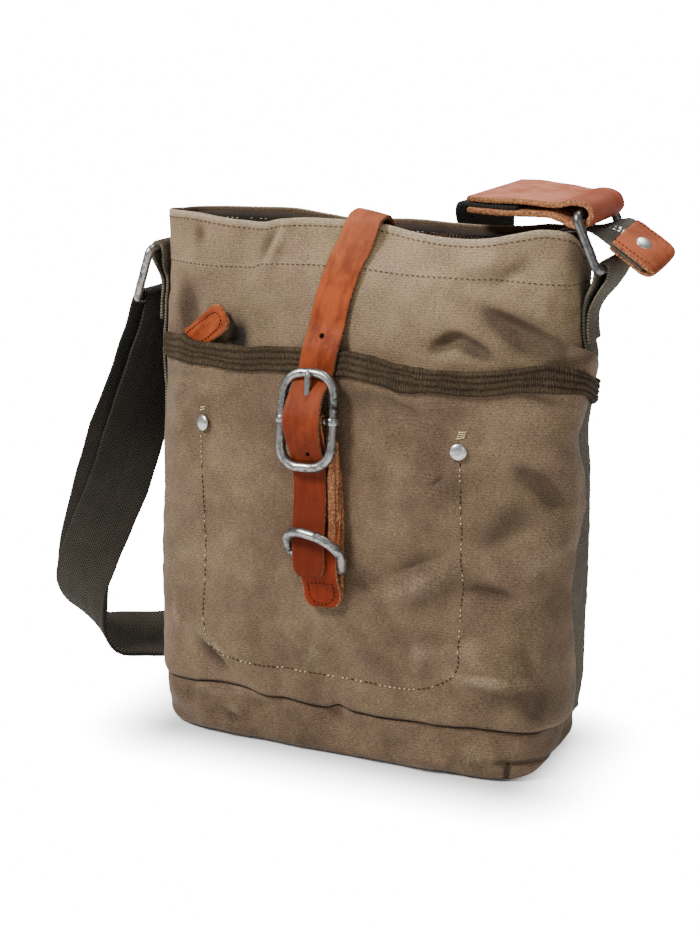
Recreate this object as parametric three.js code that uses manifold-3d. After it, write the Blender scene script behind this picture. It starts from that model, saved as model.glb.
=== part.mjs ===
// Canvas shoulder bag with a leather closing strap, a full width front pocket and a webbing shoulder strap.
// Millimetres, +Z up. The front faces -Y. The origin is the centre of the base, on the surface it stands on.
import * as THREE from 'three';
import Module from 'manifold-3d';
import { mergeVertices } from 'three/addons/utils/BufferGeometryUtils.js';

const wasm = await Module();
wasm.setup();
const { Manifold, Mesh: SolidMesh } = wasm;

// Driving sizes
const rimHeight = 300;
const canvasThick = 1.5;
const pocketThick = 1.4;
const facingThick = 1;
const floorRounding = 9;
const clear = 0.35;
const webbingWide = 37;
const sideWide = 30;
const webbingThick = 2.2;
const leatherThick = 2.2;
const strapWide = 19.6;
const ringWire = 2.5;
const ringHalfWide = 22.5;
const buckleWire = 2.4;
const buckleHalfWide = 15.2;
const buckleHalfHigh = 25.5;
const barRadius = 1.8;
const prongRadius = 1.2;
const keeperWire = 2;
const zipHalfWide = 14;
const zipThick = 1;

// Wall grid: columns round the bag and rows from the base seam to the rim
const columns = 44;
const rows = 15;
const pocketRows = 11;
const pocketColumns = 9;
const pocketEdge = 0.2135;

// The outline at some heights: half width, depth to front and back, corner squareness and sideways lean
const outlines = [
  { z: 0, half: 117, front: 54, back: 49.5, square: 5.5, lean: 0 },
  { z: 25, half: 120.5, front: 52.5, back: 50.5, square: 5, lean: 0.6 },
  { z: 80, half: 124, front: 51, back: 48.5, square: 4.2, lean: 0.5 },
  { z: 150, half: 125, front: 45.5, back: 45, square: 3.7, lean: 0.8 },
  { z: 225, half: 125, front: 36, back: 36, square: 3.5, lean: 1.4 },
  { z: 265, half: 123.6, front: 30, back: 30.5, square: 3.8, lean: 1.6 },
  { z: 300, half: 123, front: 26, back: 26, square: 4.2, lean: 0.8 },
];

// Folds of the front: place, reach along and across the fold, turn in degrees and push outward
const frontFolds = [
  { x: -66, z: 288, along: 26, across: 9, turn: 75, push: -3.2 },
  { x: -40, z: 287, along: 22, across: 10, turn: 80, push: 1.6 },
  { x: -101, z: 242, along: 20, across: 8, turn: 80, push: -4 },
  { x: 76, z: 287, along: 22, across: 7, turn: -12, push: 3 },
  { x: 84, z: 271, along: 24, across: 7, turn: -15, push: -3 },
  { x: 80, z: 252, along: 34, across: 8, turn: -24, push: -3.6 },
  { x: 104, z: 262, along: 20, across: 8, turn: -24, push: 2.6 },
  { x: 58, z: 114, along: 32, across: 8, turn: 36, push: 2.8 },
  { x: 66, z: 100, along: 28, across: 8, turn: 36, push: -2.2 },
  { x: 100, z: 166, along: 20, across: 9, turn: -28, push: -3.4 },
  { x: 108, z: 96, along: 26, across: 7, turn: 82, push: 2.6 },
  { x: 104, z: 62, along: 20, across: 9, turn: 65, push: -2.8 },
  { x: 84, z: 72, along: 28, across: 7, turn: -12, push: 2.2 },
  { x: -72, z: 46, along: 28, across: 7, turn: -38, push: -2.2 },
];

// Folds of the back
const backFolds = [
  { x: -60, z: 190, along: 60, across: 16, turn: 70, push: -2.5 },
  { x: 66, z: 120, along: 60, across: 18, turn: 110, push: -2.5 },
];

// Height of the front rim above or below its nominal height
const rimWave = [
  { x: -130, rise: 2 },
  { x: -99, rise: 2.2 },
  { x: -70, rise: -0.5 },
  { x: -54, rise: -0.9 },
  { x: -42, rise: 1.6 },
  { x: -24, rise: 3 },
  { x: 16, rise: 2.2 },
  { x: 38, rise: -1.6 },
  { x: 58, rise: -3.5 },
  { x: 78, rise: -3 },
  { x: 95, rise: 0.3 },
  { x: 108, rise: 2.6 },
  { x: 130, rise: 2 },
];

// Height of the rear rim above its mean height, along x
const backWave = [
  { x: -130, rise: 0.6 },
  { x: -80, rise: 1.4 },
  { x: -58, rise: 1.6 },
  { x: -38, rise: -0.6 },
  { x: -20, rise: -2.4 },
  { x: 16, rise: -1 },
  { x: 52, rise: -2.4 },
  { x: 80, rise: -1.6 },
  { x: 98, rise: 0.6 },
  { x: 130, rise: 1.4 },
];

// Closing strap: side it lies on, place and height of its mid layer above that side
const closureRun = [
  { side: 'back', x: 24, z: 258, lift: -7.4 },
  { side: 'back', x: 22.5, z: 272, lift: -7.4 },
  { side: 'back', x: 21, z: 284, lift: -8 },
  { side: 'over', x: 19, y: 11, z: 291.5 },
  { side: 'over', x: 15.4, y: -4, z: 296 },
  { side: 'over', x: 13.2, y: -13.5, z: 303 },
  { side: 'over', x: 11.5, y: -20, z: 306.4 },
  { side: 'over', x: 9.6, y: -27.6, z: 305 },
  { side: 'over', x: 7.4, y: -30, z: 299 },
  { side: 'front', x: 4, z: 291, lift: 2.2 },
  { side: 'front', x: -1.6, z: 280, lift: 1.9 },
  { side: 'front', x: -8.3, z: 259.6, lift: 1.8 },
  { side: 'front', x: -10.6, z: 245, lift: 2.3 },
  { side: 'front', x: -11.3, z: 237, lift: 5.4 },
  { side: 'front', x: -11.8, z: 231, lift: 7.4 },
];

// Tail of the closing strap below the buckle
const tailRun = [
  { side: 'front', x: -10.9, z: 152, lift: 10.3 },
  { side: 'front', x: -10.2, z: 137, lift: 12.3 },
  { side: 'front', x: -9.4, z: 125, lift: 14 },
  { side: 'front', x: -8.6, z: 115, lift: 14.1 },
  { side: 'front', x: -8.2, z: 108.5, lift: 13.4 },
];

// Anchor strap below the buckle: the layer on the pocket and the layer folded over it
const anchorUnder = [
  { side: 'front', x: -2.6, z: 90.5, lift: 4 },
  { side: 'front', x: -3, z: 104, lift: 4.1 },
  { side: 'front', x: -3.2, z: 118, lift: 4.2 },
  { side: 'front', x: -5, z: 145, lift: 4.7 },
];
const anchorOver = [
  { side: 'front', x: -5.6, z: 148, lift: 7.9 },
  { side: 'front', x: -4.4, z: 134, lift: 9.4 },
  { side: 'front', x: -4.2, z: 123, lift: 11.4 },
  { side: 'front', x: -4, z: 113, lift: 11.4 },
  { side: 'front', x: -3.6, z: 106, lift: 9.6 },
  { side: 'front', x: -3.2, z: 100, lift: 7 },
  { side: 'front', x: -2.6, z: 90.5, lift: 6.7 },
];

// Shoulder strap from the left ring to the right end: centre line and direction across the webbing
const shoulderRun = [
  { x: -134.2, y: 0, z: 249.5, wx: 0, wy: 1, wz: 0, outer: 8.6, aside: 0 },
  { x: -137, y: 0, z: 229, wx: 0.2, wy: 0.98, wz: 0, outer: 10.5, aside: 0 },
  { x: -146.5, y: 0, z: 193, wx: 0.6, wy: 0.8, wz: 0, outer: 9, aside: 4 },
  { x: -159, y: 1, z: 157, wx: 0.86, wy: 0.5, wz: 0, outer: 5.5, aside: 9 },
  { x: -171, y: 4, z: 129, wx: 0.89, wy: 0.45, wz: 0, outer: 3.6, aside: 9 },
  { x: -184.5, y: 7, z: 104, wx: 0.89, wy: 0.45, wz: -0.03, outer: 3, aside: 6 },
  { x: -199, y: 11, z: 77, wx: 0.89, wy: 0.45, wz: -0.08, outer: 2.9, aside: 3 },
  { x: -210.5, y: 17, z: 52, wx: 0.86, wy: 0.5, wz: -0.12, outer: 2.9, aside: 0 },
  { x: -212, y: 27, z: 31, wx: 0.72, wy: 0.66, wz: -0.2, outer: 2.9, aside: 0 },
  { x: -204, y: 41, z: 16, wx: 0.35, wy: 0.93, wz: 0, outer: 2.9, aside: 0 },
  { x: -186, y: 55, z: 10.5, wx: -0.1, wy: 0.96, wz: 0.26, outer: 2.9, aside: 0 },
  { x: -158, y: 68, z: 10, wx: -0.35, wy: 0.88, wz: 0.3, outer: 2.9, aside: 0 },
  { x: -120, y: 79, z: 8.8, wx: -0.25, wy: 0.94, wz: 0.22, outer: 2.9, aside: 0 },
  { x: -65, y: 82, z: 5, wx: -0.1, wy: 0.99, wz: 0.12, outer: 0, aside: 0 },
  { x: -15, y: 80, z: 5.2, wx: 0.05, wy: 1, wz: 0.06, outer: 0, aside: 0 },
  { x: 19, y: 77, z: 17, wx: 0.15, wy: 0.98, wz: 0, outer: 0, aside: 0 },
  { x: 38, y: 75, z: 50, wx: 0.3, wy: 0.95, wz: 0, outer: 0, aside: 0 },
  { x: 45, y: 71, z: 105, wx: 0.45, wy: 0.89, wz: 0, outer: 0, aside: 0 },
  { x: 48, y: 67, z: 170, wx: 0.55, wy: 0.83, wz: 0, outer: 0, aside: 0 },
  { x: 49.5, y: 60, z: 230, wx: 0.6, wy: 0.8, wz: 0, outer: 0, aside: 0 },
  { x: 50, y: 53, z: 278, wx: 0.62, wy: 0.78, wz: 0.05, outer: 0, aside: 0 },
];

// Smooth value of one named column of a table
function column(table, place, name, at) {
  const last = table.length - 1;
  const spot = THREE.MathUtils.clamp(at, table[0][place], table[last][place]);
  let i = 0;
  while (i < last - 1 && table[i + 1][place] < spot) i += 1;
  const before = Math.max(i - 1, 0);
  const after = Math.min(i + 2, last);
  const step = table[i + 1][place] - table[i][place];
  const t = (spot - table[i][place]) / step;
  const rise = (from, to) => (table[to][name] - table[from][name]) / (table[to][place] - table[from][place]);
  const slopeIn = rise(before, i + 1) * step;
  const slopeOut = rise(i, after) * step;
  const t2 = t * t;
  const t3 = t2 * t;
  const start = (2 * t3 - 3 * t2 + 1) * table[i][name] + (t3 - 2 * t2 + t) * slopeIn;
  return start + (3 * t2 - 2 * t3) * table[i + 1][name] + (t3 - t2) * slopeOut;
}

function smooth(low, high, value) {
  return THREE.MathUtils.smoothstep(value, low, high);
}

// Outward push of a table of folds at a place on a panel
function foldPush(folds, x, z) {
  let push = 0;
  for (const fold of folds) {
    const turn = THREE.MathUtils.degToRad(fold.turn);
    const along = (x - fold.x) * Math.cos(turn) + (z - fold.z) * Math.sin(turn);
    const across = (z - fold.z) * Math.cos(turn) - (x - fold.x) * Math.sin(turn);
    push += fold.push * Math.exp(-((along / fold.along) ** 2) - (across / fold.across) ** 2);
  }
  return push;
}

function outlineAt(z) {
  const at = THREE.MathUtils.clamp(z, 0, rimHeight);
  return {
    half: column(outlines, 'z', 'half', at),
    front: column(outlines, 'z', 'front', at),
    back: column(outlines, 'z', 'back', at),
    square: column(outlines, 'z', 'square', at),
    lean: column(outlines, 'z', 'lean', at),
  };
}

// A quarter of the outline from the middle of a panel to the side, evenly spaced by length
function quarterPoint(half, depth, square, fraction) {
  const steps = 90;
  const xs = [];
  const ys = [];
  const lengths = [0];
  for (let i = 0; i <= steps; i += 1) {
    const angle = (i / steps) * (Math.PI / 2);
    xs.push(half * Math.sin(angle) ** (2 / square));
    ys.push(i === steps ? 0 : depth * Math.cos(angle) ** (2 / square));
    if (i > 0) lengths.push(lengths[i - 1] + Math.hypot(xs[i] - xs[i - 1], ys[i] - ys[i - 1]));
  }
  const target = fraction * lengths[steps];
  let i = 1;
  while (i < steps && lengths[i] < target) i += 1;
  const t = (target - lengths[i - 1]) / (lengths[i] - lengths[i - 1]);
  return [xs[i - 1] + (xs[i] - xs[i - 1]) * t, ys[i - 1] + (ys[i] - ys[i - 1]) * t];
}

// Outer skin of the bag. u runs round it: 0 front middle, 0.25 right side, 0.5 back middle, -0.25 left side
function skin(u, z) {
  const turn = u - Math.round(u);
  const side = turn < 0 ? -1 : 1;
  const quarter = Math.abs(turn) * 4;
  const isFront = quarter <= 1;
  const outline = outlineAt(z);
  const depth = isFront ? outline.front : outline.back;
  const fraction = isFront ? quarter : 2 - quarter;
  const [across, out] = quarterPoint(outline.half, depth, outline.square, fraction);
  const x = side * across;
  const fade = 1 - (across / outline.half) ** 8;
  const push = fade * foldPush(isFront ? frontFolds : backFolds, x, z);
  const y = isFront ? -(out + push) : out + push;
  return new THREE.Vector3(x + outline.lean, y, z);
}

function skinNormal(u, z) {
  const round = skin(u + 0.004, z).sub(skin(u - 0.004, z));
  const up = skin(u, z + 2).sub(skin(u, z - 2));
  return round.cross(up).normalize();
}

function skinOffset(u, z, offset) {
  return skin(u, z).addScaledVector(skinNormal(u, z), offset);
}

// Depth of the front or back panel at a place, and a point lifted off it
function panelY(side, x, z) {
  const outline = outlineAt(z);
  const share = Math.min(Math.abs((x - outline.lean) / outline.half), 0.999);
  const bulge = (1 - share ** outline.square) ** (1 / outline.square);
  const fade = 1 - share ** 8;
  if (side === 'front') return -(outline.front * bulge + fade * foldPush(frontFolds, x - outline.lean, z));
  return outline.back * bulge + fade * foldPush(backFolds, x - outline.lean, z);
}

function panelNormal(side, x, z) {
  const slopeX = (panelY(side, x + 2, z) - panelY(side, x - 2, z)) / 4;
  const slopeZ = (panelY(side, x, z + 2) - panelY(side, x, z - 2)) / 4;
  const sign = side === 'front' ? -1 : 1;
  return new THREE.Vector3(-sign * slopeX, sign, -sign * slopeZ).normalize();
}

function onPanel(side, x, z, lift) {
  const spot = new THREE.Vector3(x, panelY(side, x, z), z);
  return spot.addScaledVector(panelNormal(side, x, z), lift);
}

// Height of the base seam and of the rim round the bag
function seamHeight(u) {
  const rightSide = Math.exp(-(((u - 0.25) / 0.07) ** 2));
  return 29.6 + 1.6 * Math.cos(2 * Math.PI * u) - 3 * rightSide;
}

function rimTop(u) {
  const turn = u - Math.round(u);
  const x = skin(turn, rimHeight).x;
  const dip = 12 * Math.exp(-(((turn - 0.25) / 0.036) ** 2));
  const front = column(rimWave, 'x', 'rise', x);
  const back = column(backWave, 'x', 'rise', x);
  const share = smooth(0.23, 0.27, Math.abs(turn));
  return rimHeight + front * (1 - share) + back * share - dip;
}

function wallHeight(u, v) {
  const seam = seamHeight(u);
  return seam + (rimTop(u) - seam) * v;
}

// One closed mesh from points and triangles, turned to face out
function closedMesh(points, triangles) {
  let volume = 0;
  for (const [a, b, c] of triangles) {
    volume += points[a].dot(new THREE.Vector3().crossVectors(points[b], points[c]));
  }
  const facing = volume < 0 ? triangles.map(([a, b, c]) => [a, c, b]) : triangles;
  const geometry = new THREE.BufferGeometry();
  geometry.setAttribute('position', new THREE.Float32BufferAttribute(points.flatMap((p) => p.toArray()), 3));
  geometry.setIndex(facing.flat());
  geometry.computeVertexNormals();
  return geometry;
}

// A sheet with thickness, from its outer and inner point grids
function sheetSolid(outer, inner, closedRound = false) {
  const high = outer.length;
  const wide = outer[0].length;
  const points = [...outer.flat(), ...inner.flat()];
  const triangles = [];
  const at = (layer, i, j) => layer * high * wide + i * wide + (j % wide);
  const quad = (a, b, c, d) => triangles.push([a, b, c], [a, c, d]);
  const cells = closedRound ? wide : wide - 1;
  for (let i = 0; i < high - 1; i += 1) {
    for (let j = 0; j < cells; j += 1) {
      quad(at(0, i, j), at(0, i, j + 1), at(0, i + 1, j + 1), at(0, i + 1, j));
      quad(at(1, i, j), at(1, i + 1, j), at(1, i + 1, j + 1), at(1, i, j + 1));
    }
    if (!closedRound) {
      quad(at(0, i, 0), at(0, i + 1, 0), at(1, i + 1, 0), at(1, i, 0));
      quad(at(0, i, cells), at(1, i, cells), at(1, i + 1, cells), at(0, i + 1, cells));
    }
  }
  for (let j = 0; j < cells; j += 1) {
    quad(at(0, 0, j), at(1, 0, j), at(1, 0, j + 1), at(0, 0, j + 1));
    quad(at(0, high - 1, j), at(0, high - 1, j + 1), at(1, high - 1, j + 1), at(1, high - 1, j));
  }
  return closedMesh(points, triangles);
}

// Cross sections joined along a path, closed along it or capped at both ends
function sectionSolid(sections, closedAlong) {
  const count = sections.length;
  const size = sections[0].length;
  const points = sections.flat();
  const triangles = [];
  const spans = closedAlong ? count : count - 1;
  for (let i = 0; i < spans; i += 1) {
    const next = (i + 1) % count;
    for (let j = 0; j < size; j += 1) {
      const k = (j + 1) % size;
      triangles.push([i * size + j, i * size + k, next * size + k]);
      triangles.push([i * size + j, next * size + k, next * size + j]);
    }
  }
  if (!closedAlong) {
    const end = (count - 1) * size;
    for (let j = 1; j < size - 1; j += 1) {
      triangles.push([0, j + 1, j]);
      triangles.push([end, end + j, end + j + 1]);
    }
  }
  return closedMesh(points, triangles);
}

// Stations of a flat strap through centre points, each with the direction across the strap
function strapStations(centres, acrosses, stepsEach) {
  const path = new THREE.CatmullRomCurve3(centres, false, 'centripetal');
  const spans = centres.length - 1;
  const total = spans * stepsEach;
  const stations = [];
  for (let i = 0; i <= total; i += 1) {
    const along = path.getTangent(i / total);
    const first = Math.min(Math.floor(i / stepsEach), spans - 1);
    const across = acrosses[first].clone().lerp(acrosses[first + 1], i / stepsEach - first);
    across.addScaledVector(along, -across.dot(along)).normalize();
    stations.push({ centre: path.getPoint(i / total), along, across });
  }
  return stations;
}

// A flat strap with square edges. An end table rounds the strap's end over its last stations
function strapSolid(stations, wide, thick, endHalf = () => wide / 2) {
  const sections = stations.map(({ centre, along, across }, i) => {
    const normal = new THREE.Vector3().crossVectors(across, along);
    const half = endHalf(i, stations);
    const corner = (a, b) => centre.clone()
      .addScaledVector(across, a * half)
      .addScaledVector(normal, (b * thick) / 2);
    return [corner(-1, -1), corner(1, -1), corner(1, 1), corner(-1, 1)];
  });
  return sectionSolid(sections, false);
}

// A bent wire loop: a rounded rectangle in the plane of two directions
function wireLoop(centre, right, up, halfWide, halfHigh, cornerHigh, wire, cornerLow = cornerHigh) {
  const facing = new THREE.Vector3().crossVectors(right, up).normalize();
  const bends = 5;
  const sides = 8;
  const sections = [];
  for (let q = 0; q < 4; q += 1) {
    const signX = q === 0 || q === 3 ? 1 : -1;
    const signY = q < 2 ? 1 : -1;
    const corner = q < 2 ? cornerHigh : cornerLow;
    for (let i = 0; i < bends; i += 1) {
      const angle = (q + i / (bends - 1)) * (Math.PI / 2);
      const radial = right.clone().multiplyScalar(Math.cos(angle)).addScaledVector(up, Math.sin(angle));
      const middle = centre.clone().addScaledVector(right, signX * (halfWide - corner));
      middle.addScaledVector(up, signY * (halfHigh - corner)).addScaledVector(radial, corner);
      const ring = [];
      for (let k = 0; k < sides; k += 1) {
        const spin = ((k + 0.5) / sides) * 2 * Math.PI;
        const out = middle.clone().addScaledVector(radial, wire * Math.cos(spin));
        ring.push(out.addScaledVector(facing, wire * Math.sin(spin)));
      }
      sections.push(ring);
    }
  }
  return sectionSolid(sections, true);
}

// A round piece about an axis, from a profile of radii and heights that starts and ends on the axis
function turnedSolid(centre, axis, profile, sides) {
  const upward = new THREE.Vector3(0, 0, 1);
  const spin = new THREE.Quaternion().setFromUnitVectors(upward, axis.clone().normalize());
  const place = (x, y, z) => new THREE.Vector3(x, y, z).applyQuaternion(spin).add(centre);
  const points = [place(0, 0, profile[0].height)];
  for (const row of profile) {
    for (let k = 0; k < sides; k += 1) {
      const angle = (k / sides) * 2 * Math.PI;
      points.push(place(row.radius * Math.cos(angle), row.radius * Math.sin(angle), row.height));
    }
  }
  points.push(place(0, 0, profile[profile.length - 1].height));
  const end = points.length - 1;
  const triangles = [];
  for (let k = 0; k < sides; k += 1) {
    const next = (k + 1) % sides;
    triangles.push([0, 1 + next, 1 + k]);
    for (let i = 0; i < profile.length - 1; i += 1) {
      const low = 1 + i * sides;
      const high = low + sides;
      triangles.push([low + k, low + next, high + next], [low + k, high + next, high + k]);
    }
    triangles.push([end, end - sides + k, end - sides + next]);
  }
  return closedMesh(points, triangles);
}

function rod(from, to, radius, sides = 10) {
  const axis = to.clone().sub(from);
  return turnedSolid(from, axis, [{ radius, height: 0 }, { radius, height: axis.length() }], sides);
}

function toSolid(geometry) {
  const merged = mergeVertices(new THREE.BufferGeometry().setIndex(geometry.index)
    .setAttribute('position', geometry.attributes.position), 1e-4);
  return new Manifold(new SolidMesh({
    numProp: 3,
    vertProperties: new Float32Array(merged.attributes.position.array),
    triVerts: new Uint32Array(merged.index.array),
  }));
}

function fromSolid(solid) {
  const mesh = solid.getMesh();
  const geometry = new THREE.BufferGeometry();
  geometry.setAttribute('position', new THREE.Float32BufferAttribute(mesh.vertProperties, 3));
  geometry.setIndex([...mesh.triVerts]);
  geometry.computeVertexNormals();
  return geometry;
}

function joined(first, ...others) {
  return fromSolid(others.reduce((solid, other) => solid.add(toSolid(other)), toSolid(first)));
}

function cutBy(first, ...others) {
  return fromSolid(others.reduce((solid, other) => solid.subtract(toSolid(other)), toSolid(first)));
}

const bag = new THREE.Group();
bag.name = 'canvas_shoulder_bag';

function addPiece(name, geometry, color, roughness, metalness) {
  const piece = new THREE.Mesh(geometry, new THREE.MeshStandardMaterial({ color, roughness, metalness }));
  piece.name = name;
  bag.add(piece);
}

const canvasColor = 0x75674f;
const bandColor = 0x4b4230;
const facingColor = 0x2a2520;
const sideColor = 0x4c4a3c;
const strapColor = 0x3b3a30;
const leatherColor = 0x9a4a22;
const metalColor = 0x9a9a98;

// Canvas walls
const columnAt = (j) => j / columns - 0.5;
const roundColumns = [...Array(columns).keys()].map(columnAt);
const wallRows = [...Array(rows + 1).keys()].map((i) => i / rows);
const wallGrid = (heights, offset) => heights.map((v) =>
  roundColumns.map((u) => skinOffset(u, wallHeight(u, v), offset)));
addPiece('body_panel',
  sheetSolid(wallGrid(wallRows, 0), wallGrid(wallRows, -canvasThick), true),
  canvasColor, 0.9, 0);

const facingRows = [13 / rows, 14 / rows, 0.994];
const facingOut = -canvasThick - 0.8;
const facingGrid = (offset) => wallGrid(facingRows, offset);
addPiece('rim_facing',
  sheetSolid(facingGrid(facingOut), facingGrid(facingOut - facingThick), true),
  facingColor, 0.9, 0);

// Base boot with a rounded lower edge and a flat bottom
function bootPoint(u, height, inward) {
  const lowest = inward > 0 ? canvasThick : 0;
  const bend = floorRounding - inward;
  const z = Math.max(height, lowest);
  const drop = Math.min((z - lowest) / bend, 1);
  const inset = bend * (1 - Math.sqrt(1 - (1 - drop) ** 2));
  const face = skinNormal(u, Math.max(z, floorRounding));
  face.setZ(0).normalize();
  return skin(u, z).addScaledVector(face, -0.5 - inward - inset).setZ(z);
}

const bootShares = [0, 0.04, 0.13, 0.32, 1];
const bootGrid = (inward) => bootShares.map((share) => roundColumns.map((u) => {
  const top = seamHeight(u) - clear;
  const lowest = inward > 0 ? canvasThick : 0;
  return bootPoint(u, lowest + share * (top - lowest), inward);
}));

function bootSolid() {
  const outer = bootGrid(0);
  const inner = bootGrid(canvasThick);
  const high = outer.length;
  const points = [...outer.flat(), ...inner.flat()];
  const at = (layer, i, j) => layer * high * columns + i * columns + (j % columns);
  const triangles = [];
  const quad = (a, b, c, d) => triangles.push([a, b, c], [a, c, d]);
  for (let j = 0; j < columns; j += 1) {
    for (let i = 0; i < high - 1; i += 1) {
      quad(at(0, i, j), at(0, i, j + 1), at(0, i + 1, j + 1), at(0, i + 1, j));
      quad(at(1, i, j), at(1, i + 1, j), at(1, i + 1, j + 1), at(1, i, j + 1));
    }
    quad(at(0, high - 1, j), at(0, high - 1, j + 1), at(1, high - 1, j + 1), at(1, high - 1, j));
  }
  for (const layer of [0, 1]) {
    const floorRow = (layer === 0 ? outer : inner)[0].map((p) => new THREE.Vector2(p.x, p.y));
    const downward = layer === 0;
    for (const [a, b, c] of THREE.ShapeUtils.triangulateShape(floorRow, [])) {
      const turn = floorRow[b].clone().sub(floorRow[a]).cross(floorRow[c].clone().sub(floorRow[a]));
      const flip = (turn > 0) === downward;
      triangles.push(flip ? [at(layer, 0, a), at(layer, 0, c), at(layer, 0, b)]
        : [at(layer, 0, a), at(layer, 0, b), at(layer, 0, c)]);
    }
  }
  return closedMesh(points, triangles);
}
addPiece('base_panel', bootSolid(), canvasColor, 0.9, 0);

// Right edge of the pocket, which lies over the side webbing
const pocketSide = [
  { z: 20, u: 0.252 },
  { z: 45, u: 0.247 },
  { z: 60, u: 0.242 },
  { z: 75, u: 0.23 },
  { z: 92, u: 0.222 },
  { z: 120, u: 0.222 },
  { z: 138, u: 0.237 },
  { z: 155, u: 0.249 },
  { z: 172, u: 0.234 },
  { z: 187, u: 0.227 },
  { z: 205, u: 0.235 },
  { z: 225, u: 0.235 },
];

// Slip pocket: sewn close at the bottom and sides, standing off the body at its mouth
function pocketStandoff(u, z) {
  const x = skin(u, z).x;
  const height = smooth(90, 205, z);
  const gape = 7.4 * Math.exp(-(((x - 44) / 28) ** 2)) + 5.2 * Math.exp(-(((x + 90) / 26) ** 2));
  const overWebbing = 3.1 * smooth(0.2, 0.228, u);
  return clear + (1.5 * (z - 30)) / 186 + gape * height + overWebbing;
}

const pocketMiddle = [...Array(2 * pocketColumns + 1).keys()].map((j) => (j - pocketColumns) / columns);
const pocketUs = [-pocketEdge, ...pocketMiddle];
const pocketVs = wallRows.slice(0, pocketRows + 1);
const pocketGrid = (depth) => pocketVs.map((v) => {
  const sideEdge = column(pocketSide, 'z', 'u', wallHeight(0.25, v));
  const corner = [0.35, 0.7, 1].map((share) => 9 / columns + (sideEdge - 9 / columns) * share);
  return [...pocketUs, ...corner].map((u) => {
    const z = wallHeight(u, v);
    return skinOffset(u, z, pocketStandoff(u, z) + depth);
  });
});
addPiece('pocket_panel', sheetSolid(pocketGrid(pocketThick), pocketGrid(0)), canvasColor, 0.9, 0);

// Binding folded over the upper edge of the pocket
const bandDrop = 11.5;
const bandRise = 1.9;
const bandLeg = 1;
const bandUs = [...pocketUs, 0.2153, 0.226, 0.2345, 0.25, 0.272];
const bandSections = bandUs.map((u) => {
  const edge = wallHeight(u, pocketVs[pocketRows]);
  const stand = pocketStandoff(u, edge);
  const point = (offset, dz) => skinOffset(u, edge + dz, offset);
  const slack = clear + 0.15 + 0.35 * smooth(0.14, 0.18, Math.abs(u));
  const inside = stand - slack;
  const outside = stand + pocketThick + slack;
  return [
    point(outside, -bandDrop),
    point(outside + bandLeg, -bandDrop),
    point(outside + bandLeg, bandRise - 0.8),
    point(outside, bandRise),
    point(inside - bandLeg + 0.3, bandRise),
    point(inside - bandLeg, bandRise - 0.8),
    point(inside - bandLeg, -bandDrop * 0.5),
    point(inside, -bandDrop * 0.5),
    point(inside, 0.7),
    point(outside, 0.7),
  ];
});
function bandSolid() {
  const size = bandSections[0].length;
  const body = sectionSolid(bandSections, true);
  const spans = (bandSections.length - 1) * size * 6;
  const index = [...body.index.array].slice(0, spans);
  const capPattern = [[0, 1, 9], [1, 2, 9], [2, 3, 9], [3, 4, 8], [3, 8, 9], [4, 5, 8], [5, 6, 8], [6, 7, 8]];
  const end = (bandSections.length - 1) * size;
  const first = index[0] === 0 && index[1] === 1;
  for (const [a, b, c] of capPattern) {
    if (first) {
      index.push(a, c, b, end + a, end + b, end + c);
    } else {
      index.push(a, b, c, end + a, end + c, end + b);
    }
  }
  const points = bandSections.flat();
  const triangles = [];
  for (let i = 0; i < index.length; i += 3) triangles.push([index[i], index[i + 1], index[i + 2]]);
  return closedMesh(points, triangles);
}
addPiece('pocket_band', bandSolid(), bandColor, 0.95, 0);

// Leather pull in the pocket mouth
const pullRows = [
  { x: -99, z: 226.6, lift: 2.6 },
  { x: -95, z: 229.3, lift: 2.6 },
  { x: -88.5, z: 233.8, lift: 2.6 },
  { x: -81, z: 239.4, lift: 3.4 },
  { x: -73.5, z: 245.4, lift: 5.6 },
];
const pullCentres = pullRows.map((row) => onPanel('front', row.x, row.z, row.lift));
const pullAcross = pullRows.map((row) => {
  const along = new THREE.Vector3(0.81, 0, 0.58);
  return along.cross(panelNormal('front', row.x, row.z)).normalize();
});
addPiece('pocket_pull',
  strapSolid(strapStations(pullCentres, pullAcross, 2), 15.5, 2.8),
  leatherColor, 0.6, 0);

// Rivets on the pocket
const domeProfile = [
  { radius: 5, height: 0 },
  { radius: 5.1, height: 0.7 },
  { radius: 4, height: 1.6 },
  { radius: 2, height: 2.1 },
];
function pocketRivet(x, z) {
  const spot = (dx, dz) => {
    const standoff = pocketStandoff(quarterShare(x + dx, z + dz), z + dz);
    return onPanel('front', x + dx, z + dz, standoff + pocketThick);
  };
  const face = spot(4, 0).sub(spot(-4, 0)).cross(spot(0, 4).sub(spot(0, -4))).normalize();
  return turnedSolid(spot(0, 0).addScaledVector(face, clear + 0.15), face, domeProfile, 12);
}

// Share round the bag of a place on the front
function quarterShare(x, z) {
  let low = -0.25;
  let high = 0.25;
  for (let i = 0; i < 30; i += 1) {
    const middle = (low + high) / 2;
    if (skin(middle, z).x < x) low = middle;
    else high = middle;
  }
  return (low + high) / 2;
}
addPiece('rivet_left', pocketRivet(-82.5, 184.7), metalColor, 0.4, 1);
addPiece('rivet_right', pocketRivet(71.9, 184.6), metalColor, 0.4, 1);

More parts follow.
